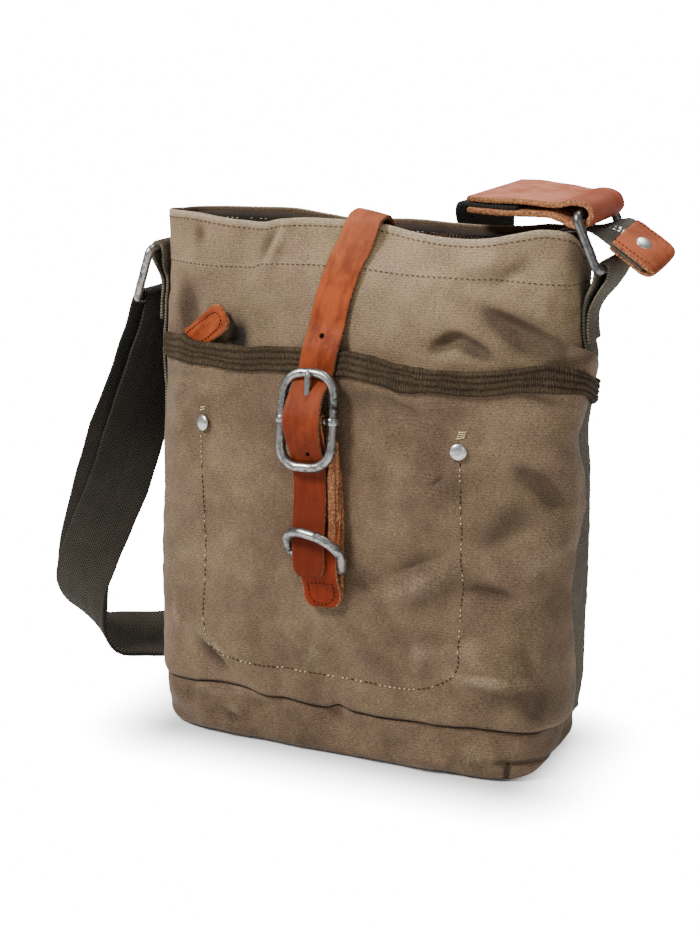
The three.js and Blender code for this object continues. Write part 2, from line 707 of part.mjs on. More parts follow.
// Buckle frame: stands off the pocket, tilted so that the strap passes under both ends
const buckleX = -14.4;
const frameTop = onPanel('front', buckleX, 194 + buckleHalfHigh, 11.6);
const frameLow = onPanel('front', buckleX + 1.2, 194 - buckleHalfHigh, 14.6);
const frameUp = frameTop.clone().sub(frameLow).normalize();
const frameRight = new THREE.Vector3(1, 0, 0).addScaledVector(frameUp, -frameUp.x).normalize();
const frameOut = new THREE.Vector3().crossVectors(frameRight, frameUp);
const frameCentre = frameTop.clone().add(frameLow).multiplyScalar(0.5);
const fromFrame = (side, up, out) => frameCentre.clone().addScaledVector(frameRight, side)
  .addScaledVector(frameUp, up).addScaledVector(frameOut, out);
const frameHalfHigh = frameTop.distanceTo(frameLow) / 2;
addPiece('buckle_frame',
  wireLoop(frameCentre, frameRight, frameUp, buckleHalfWide, frameHalfHigh, 7.5, buckleWire),
  metalColor, 0.4, 1);

const collarProfile = [
  { radius: buckleWire + 0.3, height: -2.2 },
  { radius: buckleWire + 1.5, height: -2.2 },
  { radius: buckleWire + 1.5, height: 2.2 },
  { radius: buckleWire + 0.3, height: 2.2 },
];
function collar(side) {
  const middle = fromFrame(side * buckleHalfWide, 0, 0);
  const sections = [];
  for (let k = 0; k < 14; k += 1) {
    const angle = (k / 14) * 2 * Math.PI;
    const radial = frameRight.clone().multiplyScalar(Math.cos(angle));
    radial.addScaledVector(frameOut, Math.sin(angle));
    sections.push(collarProfile.map((row) => middle.clone().addScaledVector(radial, row.radius)
      .addScaledVector(frameUp, row.height)));
  }
  return sectionSolid(sections, true);
}
const barReach = buckleHalfWide - buckleWire - 0.8;
const barRod = rod(fromFrame(-barReach, 0, 0), fromFrame(barReach, 0, 0), barRadius);
addPiece('buckle_bar', joined(barRod, collar(-1), collar(1)), metalColor, 0.4, 1);

// Prong: an eye round the bar and a tongue that rests on the frame's upper end
const prongSide = 1;
const eyeRadius = barRadius + 0.3 + prongRadius;
const eyeSections = [...Array(12).keys()].map((k) => {
  const angle = (k / 12) * 2 * Math.PI;
  const radial = frameUp.clone().multiplyScalar(Math.cos(angle)).addScaledVector(frameOut, Math.sin(angle));
  const middle = fromFrame(prongSide, 0, 0).addScaledVector(radial, eyeRadius);
  return [...Array(8).keys()].map((m) => {
    const spin = ((m + 0.5) / 8) * 2 * Math.PI;
    return middle.clone().addScaledVector(radial, prongRadius * Math.cos(spin))
      .addScaledVector(frameRight, prongRadius * Math.sin(spin));
  });
});
const tongueFoot = fromFrame(prongSide, 1.2, eyeRadius);
const tongueTip = fromFrame(prongSide, frameHalfHigh + 2.2, buckleWire + 0.3 + prongRadius);
addPiece('buckle_prong', joined(sectionSolid(eyeSections, true), rod(tongueFoot, tongueTip, prongRadius)),
  metalColor, 0.4, 1);

// Closing strap: back, over the mouth, down the front and through the buckle
function runPoint(row) {
  if (row.side === 'over') return new THREE.Vector3(row.x, row.y, row.z);
  return onPanel(row.side, row.x, row.z, row.lift);
}
function runFace(row) {
  if (row.side === 'over') {
    return new THREE.Vector3(0, row.y < -24 ? -0.8 : -0.35, row.y < -29 ? 0.1 : 0.9).normalize();
  }
  const face = panelNormal(row.side, row.x, row.z);
  return row.lift < 0 ? face.negate() : face;
}
const buckleRun = [
  { side: 0.8, up: frameHalfHigh, out: -buckleWire - 0.75 - leatherThick / 2 },
  { side: 0.8, up: 15, out: 1.2 },
  { side: 0.6, up: 7.5, out: 4.9 },
  { side: 0.5, up: 0, out: barRadius + clear + leatherThick * 1.5 + 0.5 },
  { side: 0.6, up: -8, out: 4.9 },
  { side: 0.8, up: -16, out: 1.2 },
  { side: 1, up: -frameHalfHigh, out: -buckleWire - 0.75 - leatherThick / 2 },
];
const strapCentres = [
  ...closureRun.map(runPoint),
  ...buckleRun.map((row) => fromFrame(row.side, row.up, row.out)),
  ...tailRun.map(runPoint),
];
const strapFaces = [
  ...closureRun.map(runFace),
  ...buckleRun.map(() => frameOut.clone()),
  ...tailRun.map(runFace),
];
function acrossFromFaces(centres, faces) {
  return centres.map((centre, i) => {
    const from = centres[Math.max(i - 1, 0)];
    const to = centres[Math.min(i + 1, centres.length - 1)];
    return to.clone().sub(from).cross(faces[i]).normalize();
  });
}
const closureStations = strapStations(strapCentres, acrossFromFaces(strapCentres, strapFaces), 3);
const tailTaper = (i, list) => (i === list.length - 1 ? strapWide / 2 - 3 : strapWide / 2);
const prongHole = rod(tongueFoot, tongueTip, prongRadius + 0.5);
addPiece('closure_strap',
  cutBy(strapSolid(closureStations, strapWide, leatherThick, tailTaper), prongHole),
  leatherColor, 0.6, 0);

// Anchor strap: sewn to the pocket, folded round the centre bar
const wrapRadius = barRadius + 0.45 + leatherThick / 2;
const wrapRun = [
  { up: -frameHalfHigh, out: -9.2, aside: 4 },
  { up: -16, out: -7, aside: 4 },
  { up: -8, out: -4.4, aside: 2.4 },
  { up: 0, out: -wrapRadius, aside: 0.4 },
  { up: wrapRadius * 0.71, out: -wrapRadius * 0.71 },
  { up: wrapRadius, out: 0 },
  { up: wrapRadius * 0.71, out: wrapRadius * 0.71 },
  { up: 0, out: wrapRadius },
  { up: -8, out: 1.5 },
  { up: -16, out: -2.4, aside: 0.4 },
  { up: -frameHalfHigh, out: -7.1, aside: 3.4 },
];
const anchorCentres = [
  ...anchorUnder.map(runPoint),
  ...wrapRun.map((row) => fromFrame(0.3 - row.up * 0.06 + (row.aside ?? 0), row.up, row.out)),
  ...anchorOver.map(runPoint),
];
const anchorAcross = anchorCentres.map(() => new THREE.Vector3(1, 0, 0));
const anchorWide = 22.5;
const anchorNeck = 19.6;
const anchorRound = 7;
function anchorHalf(i, list) {
  const end = list.length - 1;
  const place = list[i].centre;
  const reach = Math.min(place.distanceTo(list[0].centre), place.distanceTo(list[end].centre));
  const near = Math.max(anchorRound - reach, 0);
  const neck = smooth(130, 165, list[i].centre.z);
  const half = (anchorWide + (anchorNeck - anchorWide) * neck) / 2;
  return half - anchorRound + Math.sqrt(anchorRound ** 2 - near ** 2);
}
const prongSlot = new THREE.BoxGeometry(4, 20, 16);
prongSlot.translate(0, 0, 2.6);
prongSlot.applyMatrix4(new THREE.Matrix4().makeBasis(frameRight, frameOut.clone().negate(), frameUp)
  .setPosition(fromFrame(prongSide, 0, 0)));
const anchorStations = strapStations(anchorCentres, anchorAcross, 2);
addPiece('anchor_strap',
  cutBy(strapSolid(anchorStations, anchorWide, leatherThick, anchorHalf), prongSlot),
  leatherColor, 0.6, 0);

// Keeper ring held in the fold of the anchor strap, leaning up over the tail
const keeperBack = onPanel('front', -6.2, 116, 7.75);
const keeperFront = onPanel('front', -11, 133, 20);
const keeperFace = panelNormal('front', -6.2, 116);
const keeperRight = new THREE.Vector3(0.97, 0, -0.24);
keeperRight.addScaledVector(keeperFace, -keeperRight.dot(keeperFace)).normalize();
const keeperUp = keeperFront.clone().sub(keeperBack);
keeperUp.addScaledVector(keeperRight, -keeperUp.dot(keeperRight));
const keeperDeep = keeperUp.length() / 2;
keeperUp.normalize();
const keeperCentre = keeperBack.clone().addScaledVector(keeperUp, keeperDeep);
addPiece('keeper_ring', wireLoop(keeperCentre, keeperRight, keeperUp, 18.6, keeperDeep, 10, keeperWire, 4),
  metalColor, 0.4, 1);

// Rings at both sides
const sideward = new THREE.Vector3(0, 1, 0);
const leftTop = new THREE.Vector3(-128.8, 0, 279.5);
const leftLow = new THREE.Vector3(-138.5, 0, 249.5);
const rightLow = new THREE.Vector3(140.6, 0, 284.2);
const rightTop = new THREE.Vector3(128.8, 0, 312.8);
const rightBar = new THREE.Vector3(0.1, 0.99, 0.09).normalize();
function ringBetween(low, top, bar) {
  const up = top.clone().sub(low);
  up.addScaledVector(bar, -up.dot(bar)).normalize();
  const centre = low.clone().add(top).multiplyScalar(0.5);
  const half = low.distanceTo(top) / 2;
  return wireLoop(centre, bar, up, ringHalfWide, half, 3.6, ringWire);
}
addPiece('ring_left', ringBetween(leftLow, leftTop, sideward), metalColor, 0.4, 1);
addPiece('ring_right', ringBetween(rightLow, rightTop, rightBar), metalColor, 0.4, 1);

// Side webbing: up the side from the base seam, round the ring and down again to its sewn end
const loopRadius = ringWire + clear + webbingThick / 2;
const stripHalf = 0.0268;
const leftStrip = () => [-0.25 - stripHalf, -12 / columns, -0.25, -10 / columns, -0.25 + stripHalf];
const rightMiddle = 0.2643;
function rightStrip(z) {
  const middle = rightMiddle - 0.0123 * (1 - smooth(130, 225, z));
  const low = middle - stripHalf;
  return [low, Math.max(10 / columns, low + 0.002), 0.25, 12 / columns, middle + stripHalf];
}
const stripRowsUp = 13;
function sideWebbing(sign, stripAt, bar, barAcross, leg, legDown, endZs) {
  const outer = [];
  const inner = [];
  const onBody = (z, offset, turned) => {
    const mids = stripAt(z).map((u) => skinOffset(u, z, offset));
    const faces = stripAt(z).map((u) => skinNormal(u, z).multiplyScalar(webbingThick / 2));
    const above = mids.map((p, k) => p.clone().add(faces[k]));
    const below = mids.map((p, k) => p.clone().sub(faces[k]));
    outer.push(turned ? below : above);
    inner.push(turned ? above : below);
  };
  const first = clear + webbingThick / 2;
  for (let i = 0; i <= stripRowsUp; i += 1) {
    const v = wallRows[i];
    const stripUs = stripAt(wallHeight(sign * 0.25, v));
    const mids = stripUs.map((u) => skinOffset(u, wallHeight(u, v), first));
    const faces = stripUs.map((u) => skinNormal(u, wallHeight(u, v)));
    outer.push(mids.map((p, k) => p.clone().addScaledVector(faces[k], webbingThick / 2)));
    inner.push(mids.map((p, k) => p.clone().addScaledVector(faces[k], -webbingThick / 2)));
  }
  const flatRow = (centre, normal, share) => {
    const across = sideward.clone().lerp(barAcross, share).normalize();
    const middle = sign < 0 ? -0.25 : rightMiddle;
    const shifts = stripAt(rimHeight).map((u) => (sign * (u - middle) * sideWide) / (2 * stripHalf));
    const mids = shifts.map((s) => centre.clone().addScaledVector(across, s));
    outer.push(mids.map((p) => p.clone().addScaledVector(normal, webbingThick / 2)));
    inner.push(mids.map((p) => p.clone().addScaledVector(normal, -webbingThick / 2)));
  };
  for (const row of leg) {
    const normal = new THREE.Vector3(row.nx, 0, row.nz).normalize();
    flatRow(new THREE.Vector3(row.x, row.y, row.z), normal, row.share);
  }
  for (let k = 0; k <= 6; k += 1) {
    const angle = Math.PI * (1 - k / 6);
    const normal = new THREE.Vector3(sign * Math.cos(angle), 0, Math.sin(angle));
    const inward = normal.clone().multiplyScalar(-1);
    flatRow(bar.clone().addScaledVector(normal, loopRadius), inward, 1);
  }
  for (const row of legDown) {
    const normal = new THREE.Vector3(row.nx, 0, row.nz).normalize();
    flatRow(new THREE.Vector3(row.x, row.y, row.z), normal, row.share);
  }
  const second = first + webbingThick + 0.5;
  for (const z of endZs) onBody(z, second, true);
  return sheetSolid(outer, inner);
}
const leftLeg = [
  { x: -124.6, y: 0, z: 264, nx: -1, nz: 0, share: 1 },
];
const leftDown = [
  { x: -132.2, y: 0, z: 273, nx: 1, nz: 0.15, share: 1 },
];
const rightLeg = [
  { x: 129.8, y: 6, z: 268, nx: 1, nz: -0.5, share: 0.5 },
  { x: 134.4, y: 3, z: 275, nx: 1, nz: -0.6, share: 0.9 },
];
const rightDown = [
  { x: 143, y: 2, z: 278.6, nx: -1, nz: 0.5, share: 1 },
  { x: 138.6, y: 4, z: 272.6, nx: -1, nz: 0.8, share: 0.8 },
  { x: 133.6, y: 6.6, z: 266, nx: -1, nz: 0.4, share: 0.4 },
];
addPiece('side_webbing_left',
  sideWebbing(-1, leftStrip, leftTop, sideward, leftLeg, leftDown, [262, 253, 245, 238]),
  sideColor, 0.95, 0);
addPiece('side_webbing_right',
  sideWebbing(1, rightStrip, rightLow, rightBar, rightLeg, rightDown, [257, 249, 241]),
  sideColor, 0.95, 0);

// Leather end that carries the shoulder strap on the right ring
const endLeather = 2.6;
const endRun = [
  { along: 76, up: 3.7, share: 1 },
  { along: 56, up: 4.8, share: 1 },
  { along: 36, up: 5.3, share: 0.7 },
  { along: 26, up: 5.2, share: 0.5 },
  { along: 12, up: 4.5, share: 0.2 },
  { along: 3, up: 6, share: 0 },
  { along: -5, up: 4.2, share: 0 },
  { along: -7.4, up: -0.6, share: 0 },
  { along: -4.4, up: -5, share: 0 },
  { along: 2, up: -6.1, share: 0 },
  { along: 9, up: -3.2, share: 0.2 },
  { along: 16, up: -0.9, share: 0.4 },
  { along: 24, up: -0.9, share: 0.5 },
  { along: 36, up: -1.4, share: 0.7 },
  { along: 56, up: -1.6, share: 1 },
  { along: 76, up: -2.7, share: 1 },
];
const endTurn = 0.0034;
const endPoint = (along, up) => {
  const back = 0.14 * along + endTurn * along * Math.abs(along);
  return rightTop.clone().add(new THREE.Vector3(-0.97 * along + 0.0012 * along * along, back, up));
};
const endAcross = (along, tilt) => {
  const heading = endPoint(along + 1, 0).sub(endPoint(along - 1, 0));
  return new THREE.Vector3(heading.y, -heading.x, tilt * heading.length()).normalize();
};
const endStations = strapStations(
  endRun.map((row) => endPoint(row.along, row.up)),
  endRun.map((row) => endAcross(Math.max(row.along, 0), 0.09 + 0.12 * row.share)),
  2,
);
addPiece('strap_end', strapSolid(endStations, 38, endLeather), leatherColor, 0.6, 0);

// Shoulder strap: turned round the left ring and doubled, then one layer up the back to the leather end
const shoulderMain = shoulderRun.map((row) => new THREE.Vector3(row.x, row.y, row.z));
const shoulderWide = shoulderRun.map((row) => new THREE.Vector3(row.wx, row.wy, row.wz).normalize());
const mainStations = strapStations(shoulderMain, shoulderWide, 1);
const tailRows = shoulderRun.map((row, i) => i).filter((i) => shoulderRun[i].outer > 0).reverse();
const tailCentres = tailRows.map((i) => {
  const { centre, along, across } = mainStations[i];
  const behind = new THREE.Vector3().crossVectors(across, along);
  const { outer, aside } = shoulderRun[i];
  return centre.clone().addScaledVector(behind, outer).addScaledVector(across, -aside);
});
const turnRadius = ringWire + 0.7 + webbingThick / 2;
const turnCentres = [135, 90, 45].map((degrees) => {
  const angle = THREE.MathUtils.degToRad(degrees);
  const reach = new THREE.Vector3(Math.cos(angle), 0, Math.sin(angle));
  return leftLow.clone().addScaledVector(reach, turnRadius);
});
const backRun = [
  { x: 50.5, y: 47.5, z: 302, wx: 0.62, wy: 0.77, wz: 0.12 },
  { along: 85, up: -0.6 },
  { along: 77, up: 0.5 },
  { along: 66, up: 0.8 },
  { along: 50, up: 1.6 },
  { along: 36, up: 1.9 },
];
const backCentres = backRun.map((row) => (
  row.along ? endPoint(row.along, row.up) : new THREE.Vector3(row.x, row.y, row.z)));
const backAcross = backRun.map((row) => (
  row.along ? endAcross(row.along, 0.21) : new THREE.Vector3(row.wx, row.wy, row.wz)));
const shoulderStations = strapStations(
  [...tailCentres, ...turnCentres, ...shoulderMain, ...backCentres],
  [...tailRows.map((i) => shoulderWide[i]), sideward, sideward, sideward, ...shoulderWide, ...backAcross],
  2,
);
addPiece('shoulder_strap', strapSolid(shoulderStations, webbingWide, webbingThick), strapColor, 0.95, 0);

// Zip tapes: sewn inside the rim, side by side at the right end
const zipRun = [
  { x: -96, wall: 5, z: 284, rise: 0.99, inward: 0.15 },
  { x: -78, wall: 5, z: 284, rise: 0.99, inward: 0.15 },
  { x: -60, wall: 5, z: 284, rise: 0.99, inward: 0.15 },
  { x: -40, wall: 5, z: 284, rise: 0.99, inward: 0.15 },
  { x: -20, wall: 5, z: 284, rise: 0.99, inward: 0.15 },
  { x: 20, wall: 5, z: 284, rise: 0.99, inward: 0.15 },
  { x: 40, wall: 5.2, z: 284, rise: 0.99, inward: 0.15 },
  { x: 60, wall: 7.6, z: 284.5, rise: 0.98, inward: 0.2 },
  { x: 80, wall: 8.4, z: 286, rise: 0.95, inward: 0.3 },
  { x: 98, out: 12.5, z: 291, rise: 0.7, inward: 0.7 },
  { x: 111, out: 7.5, z: 299, rise: 0.1, inward: 1 },
  { x: 121, out: 7.5, z: 301.5, rise: 0, inward: 1 },
  { x: 130, out: 7.5, z: 302.5, rise: 0, inward: 1 },
];
const tabStart = new THREE.Vector3(146, 0, 299.5);
const tabAlong = new THREE.Vector3(0.83, 0, -0.56).normalize();
const tabAcross = new THREE.Vector3(0.2, 0.9, 0.36);
tabAcross.addScaledVector(tabAlong, -tabAcross.dot(tabAlong)).normalize();
const tabUp = new THREE.Vector3().crossVectors(tabAlong, tabAcross);
const onTab = (along, up, across) => tabStart.clone().addScaledVector(tabAlong, along)
  .addScaledVector(tabUp, up).addScaledVector(tabAcross, across);
function zipTape(sign) {
  const side = sign < 0 ? 'front' : 'back';
  const outAt = (row) => (row.wall ? panelY(side, row.x, row.z) - sign * row.wall : sign * row.out);
  const centres = zipRun.map((row) => new THREE.Vector3(row.x, outAt(row), row.z));
  const across = zipRun.map((row) => new THREE.Vector3(0, -sign * row.inward, row.rise).normalize());
  for (const along of [-4, 6, 20]) {
    centres.push(onTab(along, 0, sign * 7.5));
    across.push(tabAcross.clone().multiplyScalar(-sign));
  }
  return strapSolid(strapStations(centres, across, 2), zipHalfWide, zipThick);
}
addPiece('zip_tape_front', zipTape(-1), facingColor, 0.9, 0);
addPiece('zip_tape_back', zipTape(1), facingColor, 0.9, 0);

const tabRun = [
  { along: -1, up: 2 },
  { along: 11, up: 2.2 },
  { along: 21.5, up: 2.1 },
  { along: 24.6, up: 1.3 },
  { along: 25.6, up: 0 },
  { along: 24.6, up: -1.3 },
  { along: 21.5, up: -2.1 },
  { along: 11, up: -2.2 },
  { along: -1, up: -2 },
];
const tabStations = strapStations(
  tabRun.map((row) => onTab(row.along, row.up, 0)),
  tabRun.map(() => tabAcross),
  2,
);
addPiece('zip_end_tab', strapSolid(tabStations, 27.5, 2), leatherColor, 0.6, 0);
const endRivet = domeProfile.map((row) => ({ radius: row.radius * 0.9, height: row.height }));
addPiece('zip_end_rivet',
  turnedSolid(onTab(11, 3.2 + clear, 0), tabUp, endRivet, 12),
  metalColor, 0.4, 1);

export default bag;
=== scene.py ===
import bpy
import math
import numpy as np
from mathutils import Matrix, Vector


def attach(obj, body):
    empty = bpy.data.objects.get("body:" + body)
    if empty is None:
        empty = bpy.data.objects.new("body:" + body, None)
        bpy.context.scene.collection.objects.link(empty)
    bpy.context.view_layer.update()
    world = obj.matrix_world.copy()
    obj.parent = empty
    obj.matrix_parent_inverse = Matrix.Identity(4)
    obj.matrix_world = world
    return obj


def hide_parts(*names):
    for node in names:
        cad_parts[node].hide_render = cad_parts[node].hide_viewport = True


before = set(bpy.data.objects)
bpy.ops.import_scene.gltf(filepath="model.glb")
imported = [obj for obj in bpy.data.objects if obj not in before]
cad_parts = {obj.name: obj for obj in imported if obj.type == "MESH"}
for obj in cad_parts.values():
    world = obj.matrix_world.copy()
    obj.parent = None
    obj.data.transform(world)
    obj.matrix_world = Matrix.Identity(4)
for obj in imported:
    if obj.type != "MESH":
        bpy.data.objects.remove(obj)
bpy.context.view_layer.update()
mm = 0.001

# camera, in millimetres and degrees, with its clipping in metres
cameraSizes = {"place": (420, -940, 423), "turn": 24.7, "down": 14.4, "lens": 71.38, "film": 36,
               "clip": (0.05, 50)}
cameraData = bpy.data.cameras.new("bagCamera")
cameraData.sensor_fit = "VERTICAL"
cameraData.sensor_height = cameraSizes["film"]
cameraData.lens = cameraSizes["lens"]
cameraData.clip_start, cameraData.clip_end = cameraSizes["clip"]
camera = bpy.data.objects.new("bagCamera", cameraData)
camera.location = [v * mm for v in cameraSizes["place"]]
camera.rotation_euler = (math.radians(90 - cameraSizes["down"]), 0, math.radians(cameraSizes["turn"]))
bpy.context.collection.objects.link(camera)
bpy.context.scene.camera = camera
print("camera placed")


# shader helpers: a socket that takes part in sums, and a finish that makes nodes
class Sock:
    def __init__(self, tree, out):
        self.tree, self.out = tree, out

    def maths(self, kind, *others):
        node = self.tree.nodes.new("ShaderNodeMath")
        node.operation = kind
        for slot, value in zip(node.inputs, (self,) + others):
            plug(self.tree, slot, value)
        return Sock(self.tree, node.outputs[0])

    def __add__(self, other):
        return self.maths("ADD", other)

    def __sub__(self, other):
        return self.maths("SUBTRACT", other)

    def __rsub__(self, other):
        return (self * -1) + other

    def __mul__(self, other):
        return self.maths("MULTIPLY", other)

    def __truediv__(self, other):
        return self.maths("DIVIDE", other)

    def clamped(self):
        return self.maths("MAXIMUM", 0.0).maths("MINIMUM", 1.0)

    def zigzag(self):
        return (self.maths("FRACT") - 0.5).maths("ABSOLUTE") * 2


def plug(tree, slot, value):
    if isinstance(value, Sock):
        tree.links.new(value.out, slot)
    else:
        slot.default_value = value


class Finish:
    def __init__(self, name):
        self.material = bpy.data.materials.new(name)
        self.material.use_nodes = True
        self.tree = self.material.node_tree
        self.shader = self.tree.nodes["Principled BSDF"]

    def node(self, kind, settings=None, inputs=None, out=0):
        made = self.tree.nodes.new(kind)
        for key, value in (settings or {}).items():
            setattr(made, key, value)
        for key, value in (inputs or {}).items():
            plug(self.tree, made.inputs[key], value)
        return Sock(self.tree, made.outputs[out])

    def surface(self, **values):
        for key, value in values.items():
            plug(self.tree, self.shader.inputs[key.replace("_", " ")], value)
        return self.material

    def place(self):
        return self.node("ShaderNodeTexCoord", out="Object")

    def flat(self):
        return self.node("ShaderNodeUVMap", {"uv_map": "weave"})

    def parts(self, vector):
        split = self.tree.nodes.new("ShaderNodeSeparateXYZ")
        plug(self.tree, split.inputs[0], vector)
        return [Sock(self.tree, out) for out in split.outputs]

    def mark(self, name):
        return self.node("ShaderNodeAttribute", {"attribute_name": name}, out="Fac")

    def noise(self, vector, size, detail=3.0, rough=0.55, stretch=(1, 1, 1)):
        moved = self.node("ShaderNodeMapping", None, {"Vector": vector, "Scale": stretch})
        return self.node("ShaderNodeTexNoise", None,
                         {"Vector": moved, "Scale": 1 / (size * mm), "Detail": detail, "Roughness": rough})

    def cells(self, vector, size):
        return self.node("ShaderNodeTexVoronoi", None, {"Vector": vector, "Scale": 1 / (size * mm)})

    def spread(self, value, low, high):
        return self.node("ShaderNodeMapRange", {"clamp": True, "interpolation_type": "SMOOTHSTEP"},
                         {"Value": value, "From Min": low, "From Max": high})

    def mixed(self, share, first, second, how="MIX"):
        return self.node("ShaderNodeMixRGB", {"blend_type": how},
                         {"Fac": share, "Color1": first, "Color2": second})

    def bump(self, height, strength, depth):
        return self.node("ShaderNodeBump", None,
                         {"Height": height, "Strength": strength, "Distance": depth * mm})


def tint(red, green, blue):
    values = [v / 255 for v in (red, green, blue)]
    return tuple(v / 12.92 if v <= 0.04045 else ((v + 0.055) / 1.055) ** 2.4 for v in values) + (1,)


# finishes
# canvas tones: fold paints shade into the hollows (partly wax patina), worn lightens the ridges (partly wear,
# partly painted highlight), the darkest tone paints seam lines and painted shadows
canvasTones = {"high": tint(155, 132, 103), "low": tint(85, 66, 49), "fold": tint(56, 42, 29),
               "worn": tint(182, 160, 130), "lip": tint(168, 152, 126), "seam": tint(22, 15, 10)}


def canvasFinish(name, tones):
    made = Finish(name)
    cloth, spot = made.flat(), made.place()
    height, around = made.parts(cloth)[:2]
    weft = made.noise(cloth, 1.25, 2, 0.6, (1.6, 0.6, 1))
    warp = made.noise(cloth, 1.1, 2, 0.6, (0.7, 1.5, 1))
    wander = made.noise(cloth, 7, 2, 0.5, (1, 0.4, 1))
    rows = (height / (1.5 * mm) + wander * 1.3).zigzag()
    twill = (around / (1.9 * mm) + height / (2.6 * mm) + wander * 2).zigzag()
    rows = rows * 0.6 + twill * 0.5
    patch = made.noise(spot, 42, 4, 0.6)
    cloud = made.noise(spot, 14, 3, 0.6)
    speck = made.noise(cloth, 0.8, 1, 0.5)
    tone = made.mark("tone") + (patch - 0.5) * 0.62 + (cloud - 0.5) * 0.3
    color = made.mixed(tone.clamped(), tones["low"], tones["high"])
    # crease mark: hollows painted darker (painted shade, partly wax patina), ridges painted lighter (partly
    # wear, partly painted highlight)
    crease = made.mark("crease")
    hollowShade = made.spread(crease * -1 + (cloud - 0.5) * 0.3, 0.04, 0.66)
    ridge = made.spread(crease + (cloud - 0.5) * 0.4, 0.08, 0.6)
    color = made.mixed(hollowShade * 0.68, color, tones["fold"])
    color = made.mixed(ridge * 0.24, color, tones["worn"])
    color = made.mixed(made.mark("lip") * 0.75, color, tones["lip"])
    # near-black: dark seam lines and painted shadows
    color = made.mixed(made.mark("seam").clamped(), color, tones["seam"])
    grain = (weft - 0.5) * 1.6 + (warp - 0.5) * 1.0 + (cloud - 0.5) * 0.4 + (patch - 0.5) * 0.35
    pale, dark = made.spread(speck, 0.58, 0.72), made.spread(speck * -1, -0.4, -0.3)
    grain = grain + (rows - 0.5) * 0.42 + pale * 0.32 - dark * 0.16
    hue = (made.noise(spot, 24, 3, 0.6) - 0.5) * 0.34
    red, green, blue = grain + 1.0 + hue * 0.4, grain + 1.0 - hue * 0.25, grain * 0.9 + 1.0 + hue
    shade = made.node("ShaderNodeCombineXYZ", None, {"X": red, "Y": green, "Z": blue})
    color = made.mixed(1.0, color, shade, "MULTIPLY")
    relief = weft * 0.7 + warp * 0.5 + rows * 0.4
    return made.surface(Base_Color=color, Roughness=(cloud - 0.5) * 0.25 + 0.78,
                        Normal=made.bump(relief, 0.75, 0.4),
                        Specular_IOR_Level=0.25, Sheen_Weight=0.12, Sheen_Roughness=0.4)


def facingFinish():
    made = Finish("facingCloth")
    cloth = made.flat()
    weft = made.noise(cloth, 1, 2, 0.6, (0.5, 1.8, 1))
    patch = made.noise(made.place(), 30)
    color = made.mixed(made.spread(weft * 0.7 + patch * 0.5, 0.35, 0.85), tint(26, 18, 10), tint(60, 46, 30))
    return made.surface(Base_Color=color, Roughness=weft * 0.2 + 0.75, Normal=made.bump(weft, 0.5, 0.3))


def bindingFinish():
    made = Finish("bindingTape")
    cloth = made.flat()
    ribs = made.node("ShaderNodeTexWave", {"wave_type": "BANDS", "bands_direction": "Y"},
                     {"Vector": cloth, "Scale": 230.0, "Distortion": 5.0, "Detail": 2.0, "Detail Scale": 3.0})
    fuzz = made.noise(cloth, 1.1, 3, 0.7, (0.6, 1.6, 1))
    patch = made.noise(made.place(), 22)
    tone = made.spread(fuzz * 0.8 + ribs * 0.25 + (patch - 0.5) * 0.5, 0.3, 0.85)
    color = made.mixed(tone, tint(38, 29, 19), tint(91, 75, 54))
    # the band's grooves are painted darker: painted shade
    color = made.mixed(made.mark("edge") * 0.75, color, tint(22, 16, 10))
    return made.surface(Base_Color=color, Roughness=fuzz * 0.2 + 0.75, Specular_IOR_Level=0.2,
                        Normal=made.bump(fuzz + ribs * 0.6, 0.7, 0.4))


def webbingFinish(name, dark, light, pitch, fade=0.0):
    made = Finish(name)
    across, along = made.parts(made.flat())[:2]
    zig = across.maths("PINGPONG", pitch * 2.2 * mm) * 1.1
    hump = ((along + zig) / (pitch * mm)).zigzag()
    cross = (across / (pitch * 0.55 * mm)).zigzag()
    fuzz = made.noise(made.flat(), 1.3, 3, 0.65)
    patch = made.noise(made.place(), 26)
    relief = hump * 0.7 + cross * 0.35 + fuzz * 0.5
    tone = made.spread(relief + (patch - 0.5) * 0.5, 0.35, 1.35)
    color = made.mixed(tone, dark, light)
    # the strap is painted darker higher up: painted shade
    upper = made.spread(made.parts(made.place())[2], 0.05, 0.19)
    color = made.mixed(upper * fade, color, tint(4, 4, 3))
    return made.surface(Base_Color=color, Roughness=fuzz * 0.2 + 0.75, Normal=made.bump(relief, 1.0, 0.5),
                        Specular_IOR_Level=0.2, Sheen_Weight=0.04)


def leatherFinish(name, deep, warm, pale, fall=0.88, ringEnd=0.0, crown=0.0):
    made = Finish(name)
    spot = made.place()
    pores = made.cells(spot, 0.8)
    patch = made.noise(spot, 17, 4, 0.6)
    fleck = made.noise(spot, 3.2, 4, 0.65)
    streak = made.noise(made.flat(), 5, 3, 0.6, (1.2, 0.25, 1))
    across, height = made.parts(spot)[::2]
    color = made.mixed(made.spread(patch * 0.8 + streak * 0.6, 0.5, 0.86), deep, warm)
    color = made.mixed(made.spread(fleck, 0.58, 0.8) * 0.45, color, pale)
    color = made.mixed(made.spread(fleck * -1, -0.4, -0.25) * 0.4, color, deep)
    drop = made.spread(height * -1 + (patch - 0.5) * 0.06, -0.29, -0.13)
    color = made.mixed(drop * fall, color, tint(88, 22, 3))
    color = made.mixed(made.spread(height, 0.262, 0.298) * crown, color, tint(204, 136, 104))
    color = made.mixed(made.spread(across, 0.112, 0.128) * ringEnd, color, tint(132, 54, 32))
    color = made.mixed(made.spread(made.mark("edge"), 0.72, 1.0) * 0.55, color, tint(96, 48, 24))
    return made.surface(Base_Color=color, Roughness=(fleck - 0.5) * 0.3 + 0.62, Specular_IOR_Level=0.14,
                        Normal=made.bump(pores * 0.6 + fleck * 0.7, 0.4, 0.25))


